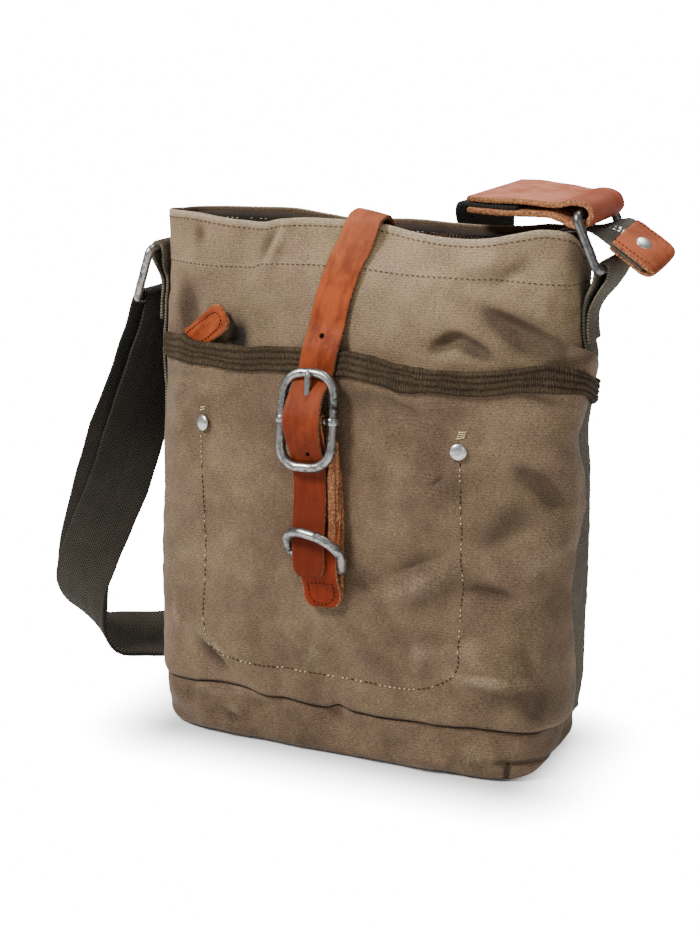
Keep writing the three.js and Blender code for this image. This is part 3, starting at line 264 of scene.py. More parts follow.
def rawFinish(name, dark, light):
    made = Finish(name)
    spot = made.place()
    fibre = made.noise(spot, 1.1, 4, 0.7)
    clump = made.noise(spot, 4.5, 3, 0.6)
    color = made.mixed(made.spread(fibre, 0.35, 0.68), dark, light)
    color = made.mixed(made.spread(clump, 0.55, 0.75) * 0.5, color, dark)
    return made.surface(Base_Color=color, Roughness=fibre * 0.2 + 0.75,
                        Normal=made.bump(fibre + clump, 0.9, 0.5))


def metalFinish(name, bright, dark, pitted):
    made = Finish(name)
    spot = made.place()
    pits = made.noise(spot, 2.2, 3, 0.6)
    wear = made.noise(spot, 8, 3, 0.6)
    soil = made.spread(pits * 0.7 + wear * 0.5, 0.4, 0.68)
    color = made.mixed(soil, dark, bright)
    rough = (1 - soil) * 0.2 + 0.3 + (wear - 0.5) * 0.15
    return made.surface(Base_Color=color, Roughness=rough, Normal=made.bump(pits, pitted, 0.35), Metallic=1.0)


def threadFinish(name, dark, light):
    made = Finish(name)
    twist = made.noise(made.place(), 0.9, 2, 0.6)
    color = made.mixed(made.spread(twist, 0.35, 0.7), dark, light)
    return made.surface(Base_Color=color, Roughness=twist * 0.3 + 0.65, Specular_IOR_Level=0.12)


def zipTapeFinish():
    made = Finish("zipTape")
    ribs = (made.parts(made.flat())[1] / (1.1 * mm)).zigzag()
    fuzz = made.noise(made.flat(), 1, 2, 0.6)
    color = made.mixed(made.spread(ribs * 0.5 + fuzz, 0.4, 1.1), tint(40, 37, 32), tint(98, 92, 80))
    return made.surface(Base_Color=color, Roughness=fuzz * 0.2 + 0.7, Normal=made.bump(ribs + fuzz, 0.5, 0.3))


canvasCloth = canvasFinish("canvasCloth", canvasTones)
facingCloth = facingFinish()
bindingTape = bindingFinish()
sideTape = webbingFinish("sideTape", tint(42, 38, 29), tint(126, 117, 98), 1.7)
strapTape = webbingFinish("strapTape", tint(20, 18, 13), tint(78, 71, 58), 2.3, 0.55)
tanLeather = leatherFinish("tanLeather", tint(118, 48, 20), tint(168, 80, 40), tint(194, 112, 70), crown=0.16)
redLeather = leatherFinish("redLeather", tint(104, 36, 12), tint(150, 54, 18), tint(178, 80, 36), 0.5)
pinkLeather = leatherFinish("pinkLeather", tint(164, 92, 68), tint(192, 122, 98), tint(218, 160, 140),
                            0.0, 0.65)
rawLeather = rawFinish("rawLeather", tint(58, 26, 12), tint(152, 92, 50))
paleRaw = rawFinish("paleRaw", tint(92, 46, 24), tint(196, 132, 82))
oldSilver = metalFinish("oldSilver", tint(176, 175, 172), tint(58, 56, 53), 0.26)
darkSteel = metalFinish("darkSteel", tint(126, 126, 126), tint(66, 64, 62), 0.15)
domeSilver = metalFinish("domeSilver", tint(216, 216, 214), tint(168, 166, 162), 0.05)
brownThread = threadFinish("brownThread", tint(38, 26, 16), tint(84, 62, 40))
hemThread = threadFinish("hemThread", tint(60, 44, 30), tint(112, 90, 66))
creamThread = threadFinish("creamThread", tint(168, 142, 98), tint(226, 212, 182))
rustThread = threadFinish("rustThread", tint(46, 15, 7), tint(92, 36, 16))
whiteThread = threadFinish("whiteThread", tint(176, 170, 154), tint(228, 224, 214))
zipTape = zipTapeFinish()
print("finishes made")


# meshes from sections
def skinned(name, points, finishes, slots=None, closedAlong=False, cap="strip", flat=None, marks=None,
            turnFlat=False):
    # points: stations, each a closed ring of points, in millimetres
    count, size = points.shape[:2]
    spans = count if closedAlong else count - 1
    i, j = np.meshgrid(np.arange(spans), np.arange(size), indexing="ij")
    ni, nj = (i + 1) % count, (j + 1) % size
    quads = np.stack([i * size + j, i * size + nj, ni * size + nj, ni * size + j], -1).reshape(-1, 4)
    faces = quads.tolist()
    which = np.zeros((spans, size), int) if slots is None else np.broadcast_to(slots, (spans, size))
    which = which.reshape(-1).tolist()
    along, across = flat if flat is not None else (np.arange(count + 1.0), np.arange(size + 1.0))
    along, across = np.asarray(along, float), np.asarray(across, float)
    if across.ndim == 1:
        across = np.broadcast_to(across, (count, len(across)))
    nextAcross = (np.arange(size) + 1) if across.shape[1] > size else (np.arange(size) + 1) % size
    nextAlong = (np.arange(spans) + 1) if len(along) > count else (np.arange(spans) + 1) % count
    corner = np.zeros((spans, size, 4, 2))
    rowA, rowB = across[np.arange(spans)], across[(np.arange(spans) + 1) % count]
    corner[:, :, 0, 0], corner[:, :, 1, 0] = rowA[:, :size], rowA[:, nextAcross]
    corner[:, :, 2, 0], corner[:, :, 3, 0] = rowB[:, nextAcross], rowB[:, :size]
    corner[:, :, 0, 1] = corner[:, :, 1, 1] = along[np.arange(spans)][:, None]
    corner[:, :, 2, 1] = corner[:, :, 3, 1] = along[nextAlong][:, None]
    corner = corner.reshape(-1, 2)
    a, b, c, d = (points.reshape(-1, 3)[quads[:, k]] for k in range(4))
    inside = points.reshape(-1, 3).mean(0)
    volume = np.einsum("ij,ij->i", a - inside, np.cross(b - inside, c - inside)).sum()
    volume += np.einsum("ij,ij->i", a - inside, np.cross(c - inside, d - inside)).sum()
    extra = []
    if not closedAlong:
        last = (count - 1) * size
        if cap == "strip":
            for k in range(size // 2 - 1):
                extra.append([k, size - 1 - k, size - 2 - k, k + 1])
                extra.append([last + v for v in (k, k + 1, size - 2 - k, size - 1 - k)])
        else:
            extra.append(list(range(size - 1, -1, -1)))
            extra.append([last + k for k in range(size)])
    if volume < 0:
        faces = [f[::-1] for f in faces]
        extra = [f[::-1] for f in extra]
        corner = corner.reshape(-1, 4, 2)[:, ::-1].reshape(-1, 2)
    rings = across[:, :size].reshape(-1)
    runs = np.repeat(along[:count], size)
    more = [np.stack([rings[f], runs[f]], -1) for f in extra]
    mesh = bpy.data.meshes.new(name)
    mesh.from_pydata((points.reshape(-1, 3) * mm).tolist(), [], faces + extra)
    for finish in finishes:
        mesh.materials.append(finish)
    endSlot = 0 if slots is None else min(1, len(finishes) - 1)
    mesh.polygons.foreach_set("material_index", which + [endSlot] * len(extra))
    mesh.polygons.foreach_set("use_smooth", [True] * len(mesh.polygons))
    layer = mesh.uv_layers.new(name="weave")
    spread = np.concatenate([corner] + more) * mm
    if turnFlat:
        spread = spread[:, ::-1]
    layer.data.foreach_set("uv", spread.astype(np.float32).reshape(-1))
    for key, values in (marks or {}).items():
        field = mesh.attributes.new(key, "FLOAT", "POINT")
        field.data.foreach_set("value", np.asarray(values, np.float32).reshape(-1))
    mesh.update()
    piece = bpy.data.objects.new(name, mesh)
    bpy.context.collection.objects.link(piece)
    return piece


def settle(piece, slot, *nodes):
    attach(piece, "root")
    if nodes:
        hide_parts(*nodes)
    print("made", piece.name, len(piece.data.polygons))
    return piece


def unit(vectors):
    vectors = np.asarray(vectors, float)
    return vectors / np.linalg.norm(vectors, axis=-1, keepdims=True)


def smooth(low, high, value):
    t = np.clip((np.asarray(value, float) - low) / (high - low), 0, 1)
    return t * t * (3 - 2 * t)


def bell(value, width):
    return np.exp(-(np.asarray(value, float) / width) ** 2)


def squareTo(ways, vectors):
    return unit(vectors - ways * np.einsum("ij,ij->i", vectors, ways)[:, None])


def runLength(points):
    return np.concatenate([[0], np.cumsum(np.linalg.norm(np.diff(points, axis=0), axis=1))])


def sampled(places, run, rows):
    return np.stack([np.interp(places, run, column) for column in rows.T], 1)


def circle(count):
    return np.linspace(0, 2 * math.pi, count, endpoint=False)


def faced(outer, inner):
    return np.concatenate([outer, inner[:, ::-1]], 1)


def closedRing(values):
    return np.concatenate([values, values[:, :1]], 1)


def mirrored(rows, middle):
    return rows + middle + [(along, -off) for along, off in rows[::-1]]


def curveThrough(rows, at):
    places, values = np.array(rows, float).T
    at = np.clip(at, places[0], places[-1])
    last = len(places) - 1
    i = np.clip(np.searchsorted(places, at) - 1, 0, last - 1)
    before, after = np.maximum(i - 1, 0), np.minimum(i + 2, last)
    step = places[i + 1] - places[i]
    t = (at - places[i]) / step
    slopeIn = (values[i + 1] - values[before]) / (places[i + 1] - places[before]) * step
    slopeOut = (values[after] - values[i]) / (places[after] - places[i]) * step
    start = (2 * t**3 - 3 * t**2 + 1) * values[i] + (t**3 - 2 * t**2 + t) * slopeIn
    return start + (3 * t**2 - 2 * t**3) * values[i + 1] + (t**3 - t**2) * slopeOut


def bells(rows, value):
    # rows: push, middle and reach
    return sum(push * bell(value - middle, reach) for push, middle, reach in rows)


def ripple(points, seed, size, count=16):
    dice = np.random.default_rng(seed)
    total = np.zeros(points.shape[:-1])
    for k in range(count):
        way = unit(dice.normal(size=3)) * 2 * math.pi / (size * dice.uniform(0.6, 1.7))
        total += np.sin(points @ way + dice.uniform(0, 2 * math.pi))
    return total / math.sqrt(count)


# the bag's outline: height, half width, depth to front and back, squareness, lean
outlineRows = [
    (0, 117, 54, 49.5, 5.5, 0), (25, 120.5, 52.5, 50.5, 5, 0.6), (80, 124, 51, 48.5, 4.2, 0.5),
    (150, 125, 45.5, 45, 3.7, 0.8), (225, 125, 36, 36, 3.5, 1.4), (265, 123.6, 30, 30.5, 3.8, 1.6),
    (300, 123, 26, 26, 4.2, 0.8),
]
bagSizes = {"rim": 300, "girth": 690, "canvas": 1.5, "pocket": 1.4, "clear": 0.35, "pocketShare": 11 / 15,
            "pocketEdge": 0.2135, "rounding": 9, "columns": 380, "hem": 0.35}

# folds: x, z, reach along, reach across, turn, push
frontFolds = [
    (-66, 288, 26, 9, 75, -3.2), (-40, 287, 22, 10, 80, 1.6), (-101, 242, 20, 8, 80, -4),
    (76, 287, 22, 7, -12, 3), (84, 271, 24, 7, -15, -3), (80, 252, 34, 8, -24, -3.6),
    (104, 262, 20, 8, -24, 2.6), (58, 114, 32, 8, 36, 2.8), (66, 100, 28, 8, 36, -2.2),
    (100, 166, 20, 9, -28, -3.4), (108, 96, 26, 7, 82, 2.6), (104, 62, 20, 9, 65, -2.8),
    (84, 72, 28, 7, -12, 2.2), (-72, 46, 28, 7, -38, -2.2),
]
backFolds = [(-60, 190, 60, 16, 70, -2.5), (66, 120, 60, 18, 110, -2.5)]
smallFolds = [
    (-44, 288.5, 13, 4, 56, 1.5), (-93, 290, 9, 6, 4, -1.4), (-101, 250, 15, 5.5, 86, -1.8),
    (77, 284, 9, 5, 0, 1.6), (82, 277, 9, 3.6, -17, -2.2), (98, 280, 12, 3.6, 26, -2),
    (99, 251, 24, 4.6, -18, -2.6), (57, 242.4, 9, 3.6, 14, -1.5), (72.5, 241.5, 9, 3.6, -19, -1.5),
    (89.5, 244, 10, 4, -39, 1.4), (111, 171, 11, 5, -34, -1.6), (97, 141, 14, 6, 40, -1.8),
    (117, 129, 9, 3.2, 46, 1.6), (51, 112, 26, 4.2, 25.5, 1.4), (46, 118, 25, 5, 26, -1.6),
    (41, 206, 7, 5, 5, -0.8), (63, 171, 6, 5, -28, -0.7), (97, 106, 15, 5, -11, -2),
    (117, 76, 14, 3.6, -87, 1.5), (111, 70, 9, 4.5, -79, -1.4), (81, 64.5, 9, 3.6, 18, 1.3),
    (98, 61, 11, 3.6, -35, 1.5), (97, 52, 13, 4.5, -10, -1.8), (30, 74, 13, 5, 62, -0.8),
    (-100, 209, 9, 5, 8, -1.5), (-101, 187, 16, 4.5, 88, 0.8), (-74, 56.5, 8, 3.2, -42, 1.2),
    (-72, 48, 11, 4, -36, -1.3), (-97, 55, 7, 5, -69, -1), (-64, 95, 10, 6, 8, -0.9),
    (-34, 88, 8, 6, 8, -0.7), (-29, 54.6, 8, 5, -15, -0.9), (-45, 64.5, 6, 5, -22, -0.7),
    (-63, 13, 8, 4, -8, -1.6), (-60, 16.5, 7, 3, -36, 1.3), (2, 24, 8, 5, 9, -0.8),
    (-22, 18, 6, 4, -42, -0.7), (-98, 16, 9, 6, 60, -1), (40, 14, 10, 5, 20, -0.9),
    (84, 18, 12, 5, -25, 1),
]
# soft hollows and ridges; through the crease mark they paint the hollows darker (painted shade, partly wax
# patina) and the ridges lighter (partly wear, partly painted highlight)
strokes = [
    (96, 249.5, 20, 6, -27, -1.1), (114, 243, 8, 4, -20, -0.5), (58, 240, 9, 4, 24, -0.95),
    (73, 239, 12, 4, -23, -1.0), (119, 232, 7, 3, 17, -0.7), (75, 280, 10, 5, -7, 0.6),
    (92, 282, 13, 4, 26, -0.5), (109, 265, 11, 10, -37, 0.3), (116, 259, 13, 2.5, -85, -0.3),
    (64, 264, 23, 12, -18, 0.3), (112, 213, 9, 4, -17, -0.5), (110, 172, 12, 6, -30, -0.75),
    (118, 161, 8, 5, -53, -0.8), (95, 142, 18, 9, 31, -0.5), (102, 152, 12, 8, -17, -0.3),
    (119, 128, 11, 6, 43, 0.45), (56, 120, 21, 7, 25, -0.5), (57, 113, 22, 8, 30, 0.35),
    (92, 109, 14, 6, -6, -0.6), (47, 151, 11, 10, -24, -0.3), (60, 167, 3, 8, -48, -0.25),
    (44, 204, 10, 6, -11, -0.35), (121, 170, 21, 4, -83, 0.3), (106, 92, 11, 8, -24, -0.3),
    (117, 59, 21, 7, -77, -0.55), (119, 66, 15, 5, -78, 0.35), (94, 57, 18, 4, -5, 0.5),
    (97, 47, 17, 7, -3, -0.35), (113, 45, 12, 6, -64, -0.5), (82, 79, 7, 7, -30, 0.3),
    (55, 70, 12, 10, -28, 0.35), (45, 77, 6, 8, -32, -0.3), (72, 53, 8, 5, -61, -0.3),
    (86, 16, 13, 6, -2, 0.3), (100, 12, 5, 2.5, 24, -0.7), (119, 17, 7, 5, -67, -0.35),
    (-103, 71, 11, 4, -82, 0.35), (-97, 81, 6, 5, -76, -0.25), (-72, 54, 12, 3, -43, 0.5),
    (-78, 49, 12, 5, -41, -0.5), (-28, 56, 8, 6, -38, -0.3), (-11, 60, 13, 5, 30, 0.3),
    (-75, 28, 28, 5, -2, 0.3), (-93, 20, 10, 6, -21, -0.3), (-45, 287, 12, 3, 66, 0.45),
    (-50, 288, 11, 4, 63, -0.5), (-27, 289, 6, 6, -55, -0.2), (-95, 290, 4, 7, 4, -0.5),
    (-104, 248, 17, 6, -79, -0.65), (-52, 245, 14, 10, -25, -0.3), (-96, 212, 16, 6, 1, -0.3),
    (11, 205, 15, 9, -35, -0.4), (26, 209, 19, 6, -5, -0.4), (-63, 13, 7, 3, -8, -0.5),
    (-60, 16, 7, 3, -36, 0.4), (3, 24, 8, 5, -7, -0.35), (41, 13, 19, 6, 2, -0.25),
    (-28, 20, 12, 6, -8, -0.25), (94, 251, 15, 2, -27, -0.5), (73, 239, 9, 1.8, -23, -0.5),
    (58, 240.5, 7, 1.8, 24, -0.45), (110, 171, 8, 2.2, -30, -0.4), (117, 161, 6, 2, -53, -0.4),
    (92, 108, 10, 2.2, -6, -0.4), (94, 59.5, 15, 1.8, -5, 0.4), (112, 46, 9, 2.2, -64, -0.4),
    (104, 240, 18, 9, -24, -0.34), (-48, 288, 10, 1.6, 64, -0.4), (-76, 50, 9, 2, -41, -0.4),
    (118, 232, 6, 1.6, 17, -0.4),
]
rearFolds = [
    (-88, 262, 22, 5, 30, -1.6), (-20, 246, 30, 6, -12, 1.3), (70, 232, 24, 6, 24, -1.5),
    (-40, 120, 34, 6, -30, 1.4), (30, 70, 30, 6, 18, -1.4), (-92, 70, 22, 5, 60, -1.6),
    (96, 176, 20, 5, 70, 1.4),
]
rimWave = [(-130, 2), (-99, 2.2), (-70, -0.5), (-54, -0.9), (-42, 1.6), (-24, 3), (16, 2.2), (38, -1.6),
           (58, -3.5), (78, -3), (95, 0.3), (108, 2.6), (130, 2)]
rearWave = [(-130, 0.6), (-80, 1.4), (-58, 1.6), (-38, -0.6), (-20, -2.4), (16, -1), (52, -2.4),
            (80, -1.6), (98, 0.6), (130, 1.4)]
seamWave = [(-125, 0), (-96, 0.3), (-78, 2.6), (-64, 2.4), (-52, 1.4), (-43, -0.6), (-27, -0.4),
            (-3, -1.8), (4, 0.8), (13, -0.8), (31, -1.8), (60, -0.8), (90, 0.4), (125, 0)]
# the right side is drawn in under the band and bulges above it
pinchRows = [(3.6, 187, 13), (1.8, 165, 36), (-2.6, 232, 10)]
# seams and hem draw the cloth into upright puckers
puckerRows = [(0.5, 33, 9), (0.3, 284, 9), (0.3, 214, 12)]
# the pocket stands away from the wall on both sides of the strap
gapeRows = [(7.4, 44, 28), (5.2, -90, 26)]
# swelling of the cloth: depth, seed and size
swellRows = [(0.6, 3, 52), (0.24, 5, 19), (0.09, 9, 9)]
hemLine = [(-130, 272.4), (-114, 272.7), (-60, 273.1), (-51, 275.8), (-16, 276.8), (11, 276.3),
           (31, 274.9), (71, 274.6), (98, 274.3), (130, 272.6)]


tableSizes = {"rise": 2.0, "turns": 241, "shares": 401}


def quarterTable(depthColumn):
    heights = np.arange(0, bagSizes["rim"] + 1, tableSizes["rise"])
    turns = np.linspace(0, math.pi / 2, tableSizes["turns"])
    half, square, depth = (curveThrough([(r[0], r[k]) for r in outlineRows], heights)[:, None]
                           for k in (1, 4, depthColumn))
    xs = half * np.sin(turns) ** (2 / square)
    ys = depth * np.clip(np.cos(turns), 0, 1) ** (2 / square)
    ys[:, -1] = 0
    steps = np.hypot(np.diff(xs, axis=1), np.diff(ys, axis=1))
    lengths = np.concatenate([np.zeros((len(heights), 1)), np.cumsum(steps, 1)], 1)
    shares = np.linspace(0, 1, tableSizes["shares"])
    table = np.zeros((len(heights), len(shares), 2))
    for k in range(len(heights)):
        spots = shares * lengths[k, -1]
        table[k, :, 0] = np.interp(spots, lengths[k], xs[k])
        table[k, :, 1] = np.interp(spots, lengths[k], ys[k])
    return table


frontTable, backTable = quarterTable(2), quarterTable(3)


def fromTable(table, z, share):
    i = np.clip(z, 0, bagSizes["rim"]) / tableSizes["rise"]
    j = np.clip(share, 0, 1) * (table.shape[1] - 1)
    i0 = np.minimum(i.astype(int), table.shape[0] - 2)
    j0 = np.minimum(j.astype(int), table.shape[1] - 2)
    fi, fj = (i - i0)[..., None], (j - j0)[..., None]
    low = table[i0, j0] * (1 - fj) + table[i0, j0 + 1] * fj
    high = table[i0 + 1, j0] * (1 - fj) + table[i0 + 1, j0 + 1] * fj
    return low * (1 - fi) + high * fi


def foldPush(folds, x, z):
    push = np.zeros(np.broadcast(x, z).shape)
    for foldX, foldZ, along, across, turn, depth in folds:
        c, s = math.cos(math.radians(turn)), math.sin(math.radians(turn))
        run = ((x - foldX) * c + (z - foldZ) * s) / along
        off = ((z - foldZ) * c - (x - foldX) * s) / across
        push += depth * np.exp(-run**2 - off**2)
    return push


def outlineAt(z, k):
    return curveThrough([(r[0], r[k]) for r in outlineRows], np.clip(z, 0, bagSizes["rim"]))


def skin(u, z, fine=True):
    u, z = np.broadcast_arrays(np.asarray(u, float), np.asarray(z, float))
    turn = u - np.round(u)
    side = np.where(turn < 0, -1.0, 1.0)
    quarter = np.abs(turn) * 4
    isFront = quarter <= 1
    before, behind = fromTable(frontTable, z, quarter), fromTable(backTable, z, 2 - quarter)
    flat = np.where(isFront[..., None], before, behind)
    x, out = side * flat[..., 0], flat[..., 1]
    half, lean = outlineAt(z, 1), outlineAt(z, 5)
    fade = 1 - np.clip(np.abs(x) / half, 0, 1) ** 8
    push = np.where(isFront, foldPush(frontFolds, x, z), foldPush(backFolds, x, z))
    if fine:
        front = 0.9 * foldPush(smallFolds, x, z) + 3.2 * foldPush(strokes, x, z)
        push = push + np.where(isFront, front, 1.5 * foldPush(rearFolds, x, z))
    sign = np.where(isFront, -1.0, 1.0)
    spot = np.stack([x + lean, sign * (out + fade * push), z], -1)
    if not fine:
        return spot
    deep, square = np.where(isFront, outlineAt(z, 2), outlineAt(z, 3)), outlineAt(z, 4)
    way = np.stack([side * np.clip(np.abs(x) / half, 0, 1) ** (square - 1) / half,
                    sign * np.clip(out / deep, 0, 1) ** (square - 1) / deep, np.zeros_like(z)], -1)
    way = unit(way + 1e-9)
    underStrap = np.where(isFront, bell(x + 6, 26), 0)
    swell = sum(depth * ripple(spot, seed, size) for depth, seed, size in swellRows)
    base = 1 - smooth(26, 34, z)
    loose = 0.35 + 0.65 * smooth(228, 250, z) + 0.5 * bell(x - 96, 30) * smooth(200, 150, z)
    swell = swell - loose * (0.5 * np.abs(ripple(spot, 23, 44)) + 0.28 * np.abs(ripple(spot, 27, 21)) - 0.6)
    swell = swell * (1 - 0.75 * underStrap) * (1 - 0.5 * smooth(285, 298, z))
    upright = spot * np.array([1, 1, 0.22])
    swell = swell + bells(puckerRows, z) * ripple(upright, 33, 13)
    swell = swell - np.where(side > 0, 1.0, 0.0) * bell(quarter - 1, 0.17) * bells(pinchRows, z)
    tucks = 0.9 * ripple(spot, 12, 26) - 0.7 * np.abs(ripple(spot, 14, 20)) + 0.4
    swell = swell + base * tucks * smooth(0, 10, z)
    return spot + way * swell[..., None]


def skinNormal(u, z, fine=True):
    du, dz = (0.002, 1.2) if fine else (0.004, 2)
    around = skin(u + du, z, fine) - skin(u - du, z, fine)
    up = skin(u, z + dz, fine) - skin(u, z - dz, fine)
    return unit(np.cross(around, up))


def skinOffset(u, z, lift, fine=True):
    return skin(u, z, fine) + skinNormal(u, z, fine) * np.asarray(lift, float)[..., None]


def panelY(side, x, z):
    half, lean, square = outlineAt(z, 1), outlineAt(z, 5), outlineAt(z, 4)
    share = np.minimum(np.abs((x - lean) / half), 0.999)
    bulge = (1 - share**square) ** (1 / square)
    folds = frontFolds if side == "front" else backFolds
    out = outlineAt(z, 2 if side == "front" else 3) * bulge + (1 - share**8) * foldPush(folds, x - lean, z)
    return -out if side == "front" else out


def panelNormal(side, x, z):
    slopeX = (panelY(side, x + 2, z) - panelY(side, x - 2, z)) / 4
    slopeZ = (panelY(side, x, z + 2) - panelY(side, x, z - 2)) / 4
    sign = -1 if side == "front" else 1
    return unit(np.array([-sign * slopeX, sign, -sign * slopeZ], float))


def onPanel(side, x, z, lift):
    return np.array([x, panelY(side, x, z), z], float) + panelNormal(side, x, z) * lift


# base seam: height, sway, sag, and the reach, depth and steepness of its tuck
seamSizes = {"high": 29.6, "sway": 1.6, "sag": 3, "reach": 4.5, "tuck": 2.6, "steep": 0.98}
# rim: the dip at the right side, its place and reach
rimSizes = {"dip": 12, "place": 0.259, "reach": 0.027}


def seamHeight(u):
    turn = u - np.round(u)
    front = smooth(0.25, 0.2, np.abs(turn))
    wave = curveThrough(seamWave, skin(turn, 30.0, False)[..., 0]) * front
    sway = seamSizes["sway"] * np.cos(2 * math.pi * u)
    return seamSizes["high"] + sway - seamSizes["sag"] * bell(turn - 0.25, 0.07) + wave


def rimTop(u):
    turn = u - np.round(u)
    x = skin(turn, float(bagSizes["rim"]), False)[..., 0]
    share = smooth(0.23, 0.27, np.abs(turn))
    wave = curveThrough(rimWave, x) * (1 - share) + curveThrough(rearWave, x) * share
    return bagSizes["rim"] + wave - rimSizes["dip"] * bell(turn - rimSizes["place"], rimSizes["reach"])


def wallHeight(u, v):
    return seamHeight(u) + (rimTop(u) - seamHeight(u)) * v


def hemHeight(us):
    return curveThrough(hemLine, skin(us, 274.0, False)[:, 0])


def seamTurn(u, z):
    t = np.clip(1 - (z - seamHeight(u)) / seamSizes["reach"], 0, 1)
    return -seamSizes["tuck"] * (1 - np.sqrt(1 - seamSizes["steep"] * t**2))


def pocketStandoff(u, z):
    x = skin(u, z, False)[..., 0]
    overWebbing = (3.1 - 1.9 * smooth(150, 205, z)) * smooth(0.2, 0.228, u)
    hug = smooth(-0.216, -0.17, u)
    flare = bagSizes["clear"] + 1.5 * (z - 30) / 186
    return (flare + bells(gapeRows, x) * smooth(90, 205, z)) * hug + overWebbing - 0.8 * (1 - hug)


def shareAt(x, z):
    low, high = np.full(np.shape(x), -0.25), np.full(np.shape(x), 0.25)
    for k in range(30):
        middle = (low + high) / 2
        under = skin(middle, z, False)[..., 0] < x
        low, high = np.where(under, middle, low), np.where(under, high, middle)
    return (low + high) / 2


# how much painted shade (in the hollows) and painted light (on the ridges) each point takes from the folds
# and strokes
def creaseOf(u, z):
    turn = u - np.round(u)
    isFront = np.abs(turn) <= 0.25
    x = skin(turn, z, False)[..., 0]
    front = foldPush(strokes, x, z) + 0.06 * foldPush(frontFolds + smallFolds, x, z)
    return np.clip(np.where(isFront, front, 0.2 * foldPush(backFolds + rearFolds, x, z)), -1, 1)


def perimeter(us):
    return us * bagSizes["girth"]


def closedRound(us):
    return np.append(perimeter(us), perimeter(0.5))


# canvas walls
def ringColumns(count):
    return np.arange(count) / count - 0.5


def wallRing(us, heights, offsets):
    rows = []
    for z, lift in zip(heights, offsets):
        rows.append(skinOffset(us, z, np.broadcast_to(lift, us.shape)))
    return np.stack(rows, 1)


def rowShares(top, count):
    # rows lie closer together by the base seam
    close = 0.03
    return np.concatenate([np.linspace(0, close, 7)[:-1], np.linspace(close, top, count)])


def bodyWall():
    us = ringColumns(bagSizes["columns"])
    shares = rowShares(0.985, 130)
    low, high = seamHeight(us), rimTop(us)
    outZ = [low + (high - low) * v for v in shares]
    hem = hemHeight(us)
    outLift = [seamTurn(us, z) + bagSizes["hem"] * smooth(-0.8, 0.8, z - hem) for z in outZ]
    # the lip: drop below the rim and lift
    lipOut = [(2.2, 0.42), (1.2, 0.42), (0.55, 0.3), (0.15, 0.0), (0.0, -0.4)]
    for drop, lift in lipOut:
        outZ.append(high - drop)
        outLift.append(np.full_like(us, lift))
    lipIn = [(0.0, -0.9), (0.15, -1.35), (0.55, -1.75), (1.2, -1.9), (2.2, -1.9)]
    inZ = [high - drop for drop, lift in lipIn]
    inLift = [np.full_like(us, lift) for drop, lift in lipIn]
    inShares = np.linspace(0.975, 0.0, len(outZ) - len(lipIn))
    for v in inShares:
        z = low + (high - low) * v
        inZ.append(z)
        inLift.append(seamTurn(us, z) - bagSizes["canvas"])
    points = wallRing(us, outZ + inZ, outLift + inLift)
    heights = np.stack(outZ + inZ, 1)
    crease = creaseOf(np.broadcast_to(us[:, None], heights.shape), heights)
    top = high[:, None] - heights
    lipMark = smooth(3.4, 1.6, top) * 0.9 + 0.25 * bell(heights - hem[:, None] - 1.2, 1.5)
    inward = len(outZ)
    crease[:, inward:] *= 0.3
    # painted shadow behind the pull
    xs = points[..., 0]
    pullShadow = np.clip(1.7 * bell(xs + 66, 6) * bell(heights - 234, 9.5), 0, 0.97) * (points[..., 1] < 0)
    pullShadow[:, inward:] = 0
    lipMark[:, inward + 2:] *= 0.1
    # tone: painted light and shade, lighter near the top and at the middle right of the top, darker at the
    # left, and darker inside the bag
    tone = 0.42 + 0.16 * smooth(255, 285, heights) - 0.16 * bell(xs + 95, 45)
    tone += 0.38 * bell(xs - 36, 42) * smooth(245, 280, heights)
    tone[:, inward:] = -0.3
    # dark along the base seam, partly the seam line and partly painted shadow under the overlap, plus the
    # painted shadow behind the pull
    seam = pullShadow + 0.9 * smooth(1.1, 0.4, heights - low[:, None])
    return skinned("body_canvas", points, [canvasCloth], closedAlong=True,
                   flat=(closedRound(us), closedRing(heights)),
                   marks={"crease": crease, "lip": lipMark, "tone": tone, "seam": seam})


settle(bodyWall(), "canvas", "body_panel")


facingSizes = {"columns": 260, "rows": 12, "drop": 3.0, "near": -2.3, "far": -3.2, "seamDrop": 6.5,
               "thread": -3.35}


def facingWall():
    us, count = ringColumns(facingSizes["columns"]), facingSizes["rows"]
    low, high = seamHeight(us), rimTop(us)
    top = high - facingSizes["drop"]
    bottom = low + (high - low) * 13 / 15
    outer = [bottom + (top - bottom) * t for t in np.linspace(0, 1, count)]
    zs = outer + outer[::-1]
    lifts = [facingSizes["near"]] * count + [facingSizes["far"]] * count
    points = wallRing(us, zs, lifts)
    return skinned("facing_cloth", points, [facingCloth], closedAlong=True,
                   flat=(closedRound(us), closedRing(np.stack(zs, 1))))


settle(facingWall(), "facing", "rim_facing")


# base: the corner seam's place round the wall, how far the cloth lies inside the skin
baseSizes = {"corner": 0.1672, "inside": 0.5, "tone": 0.09}


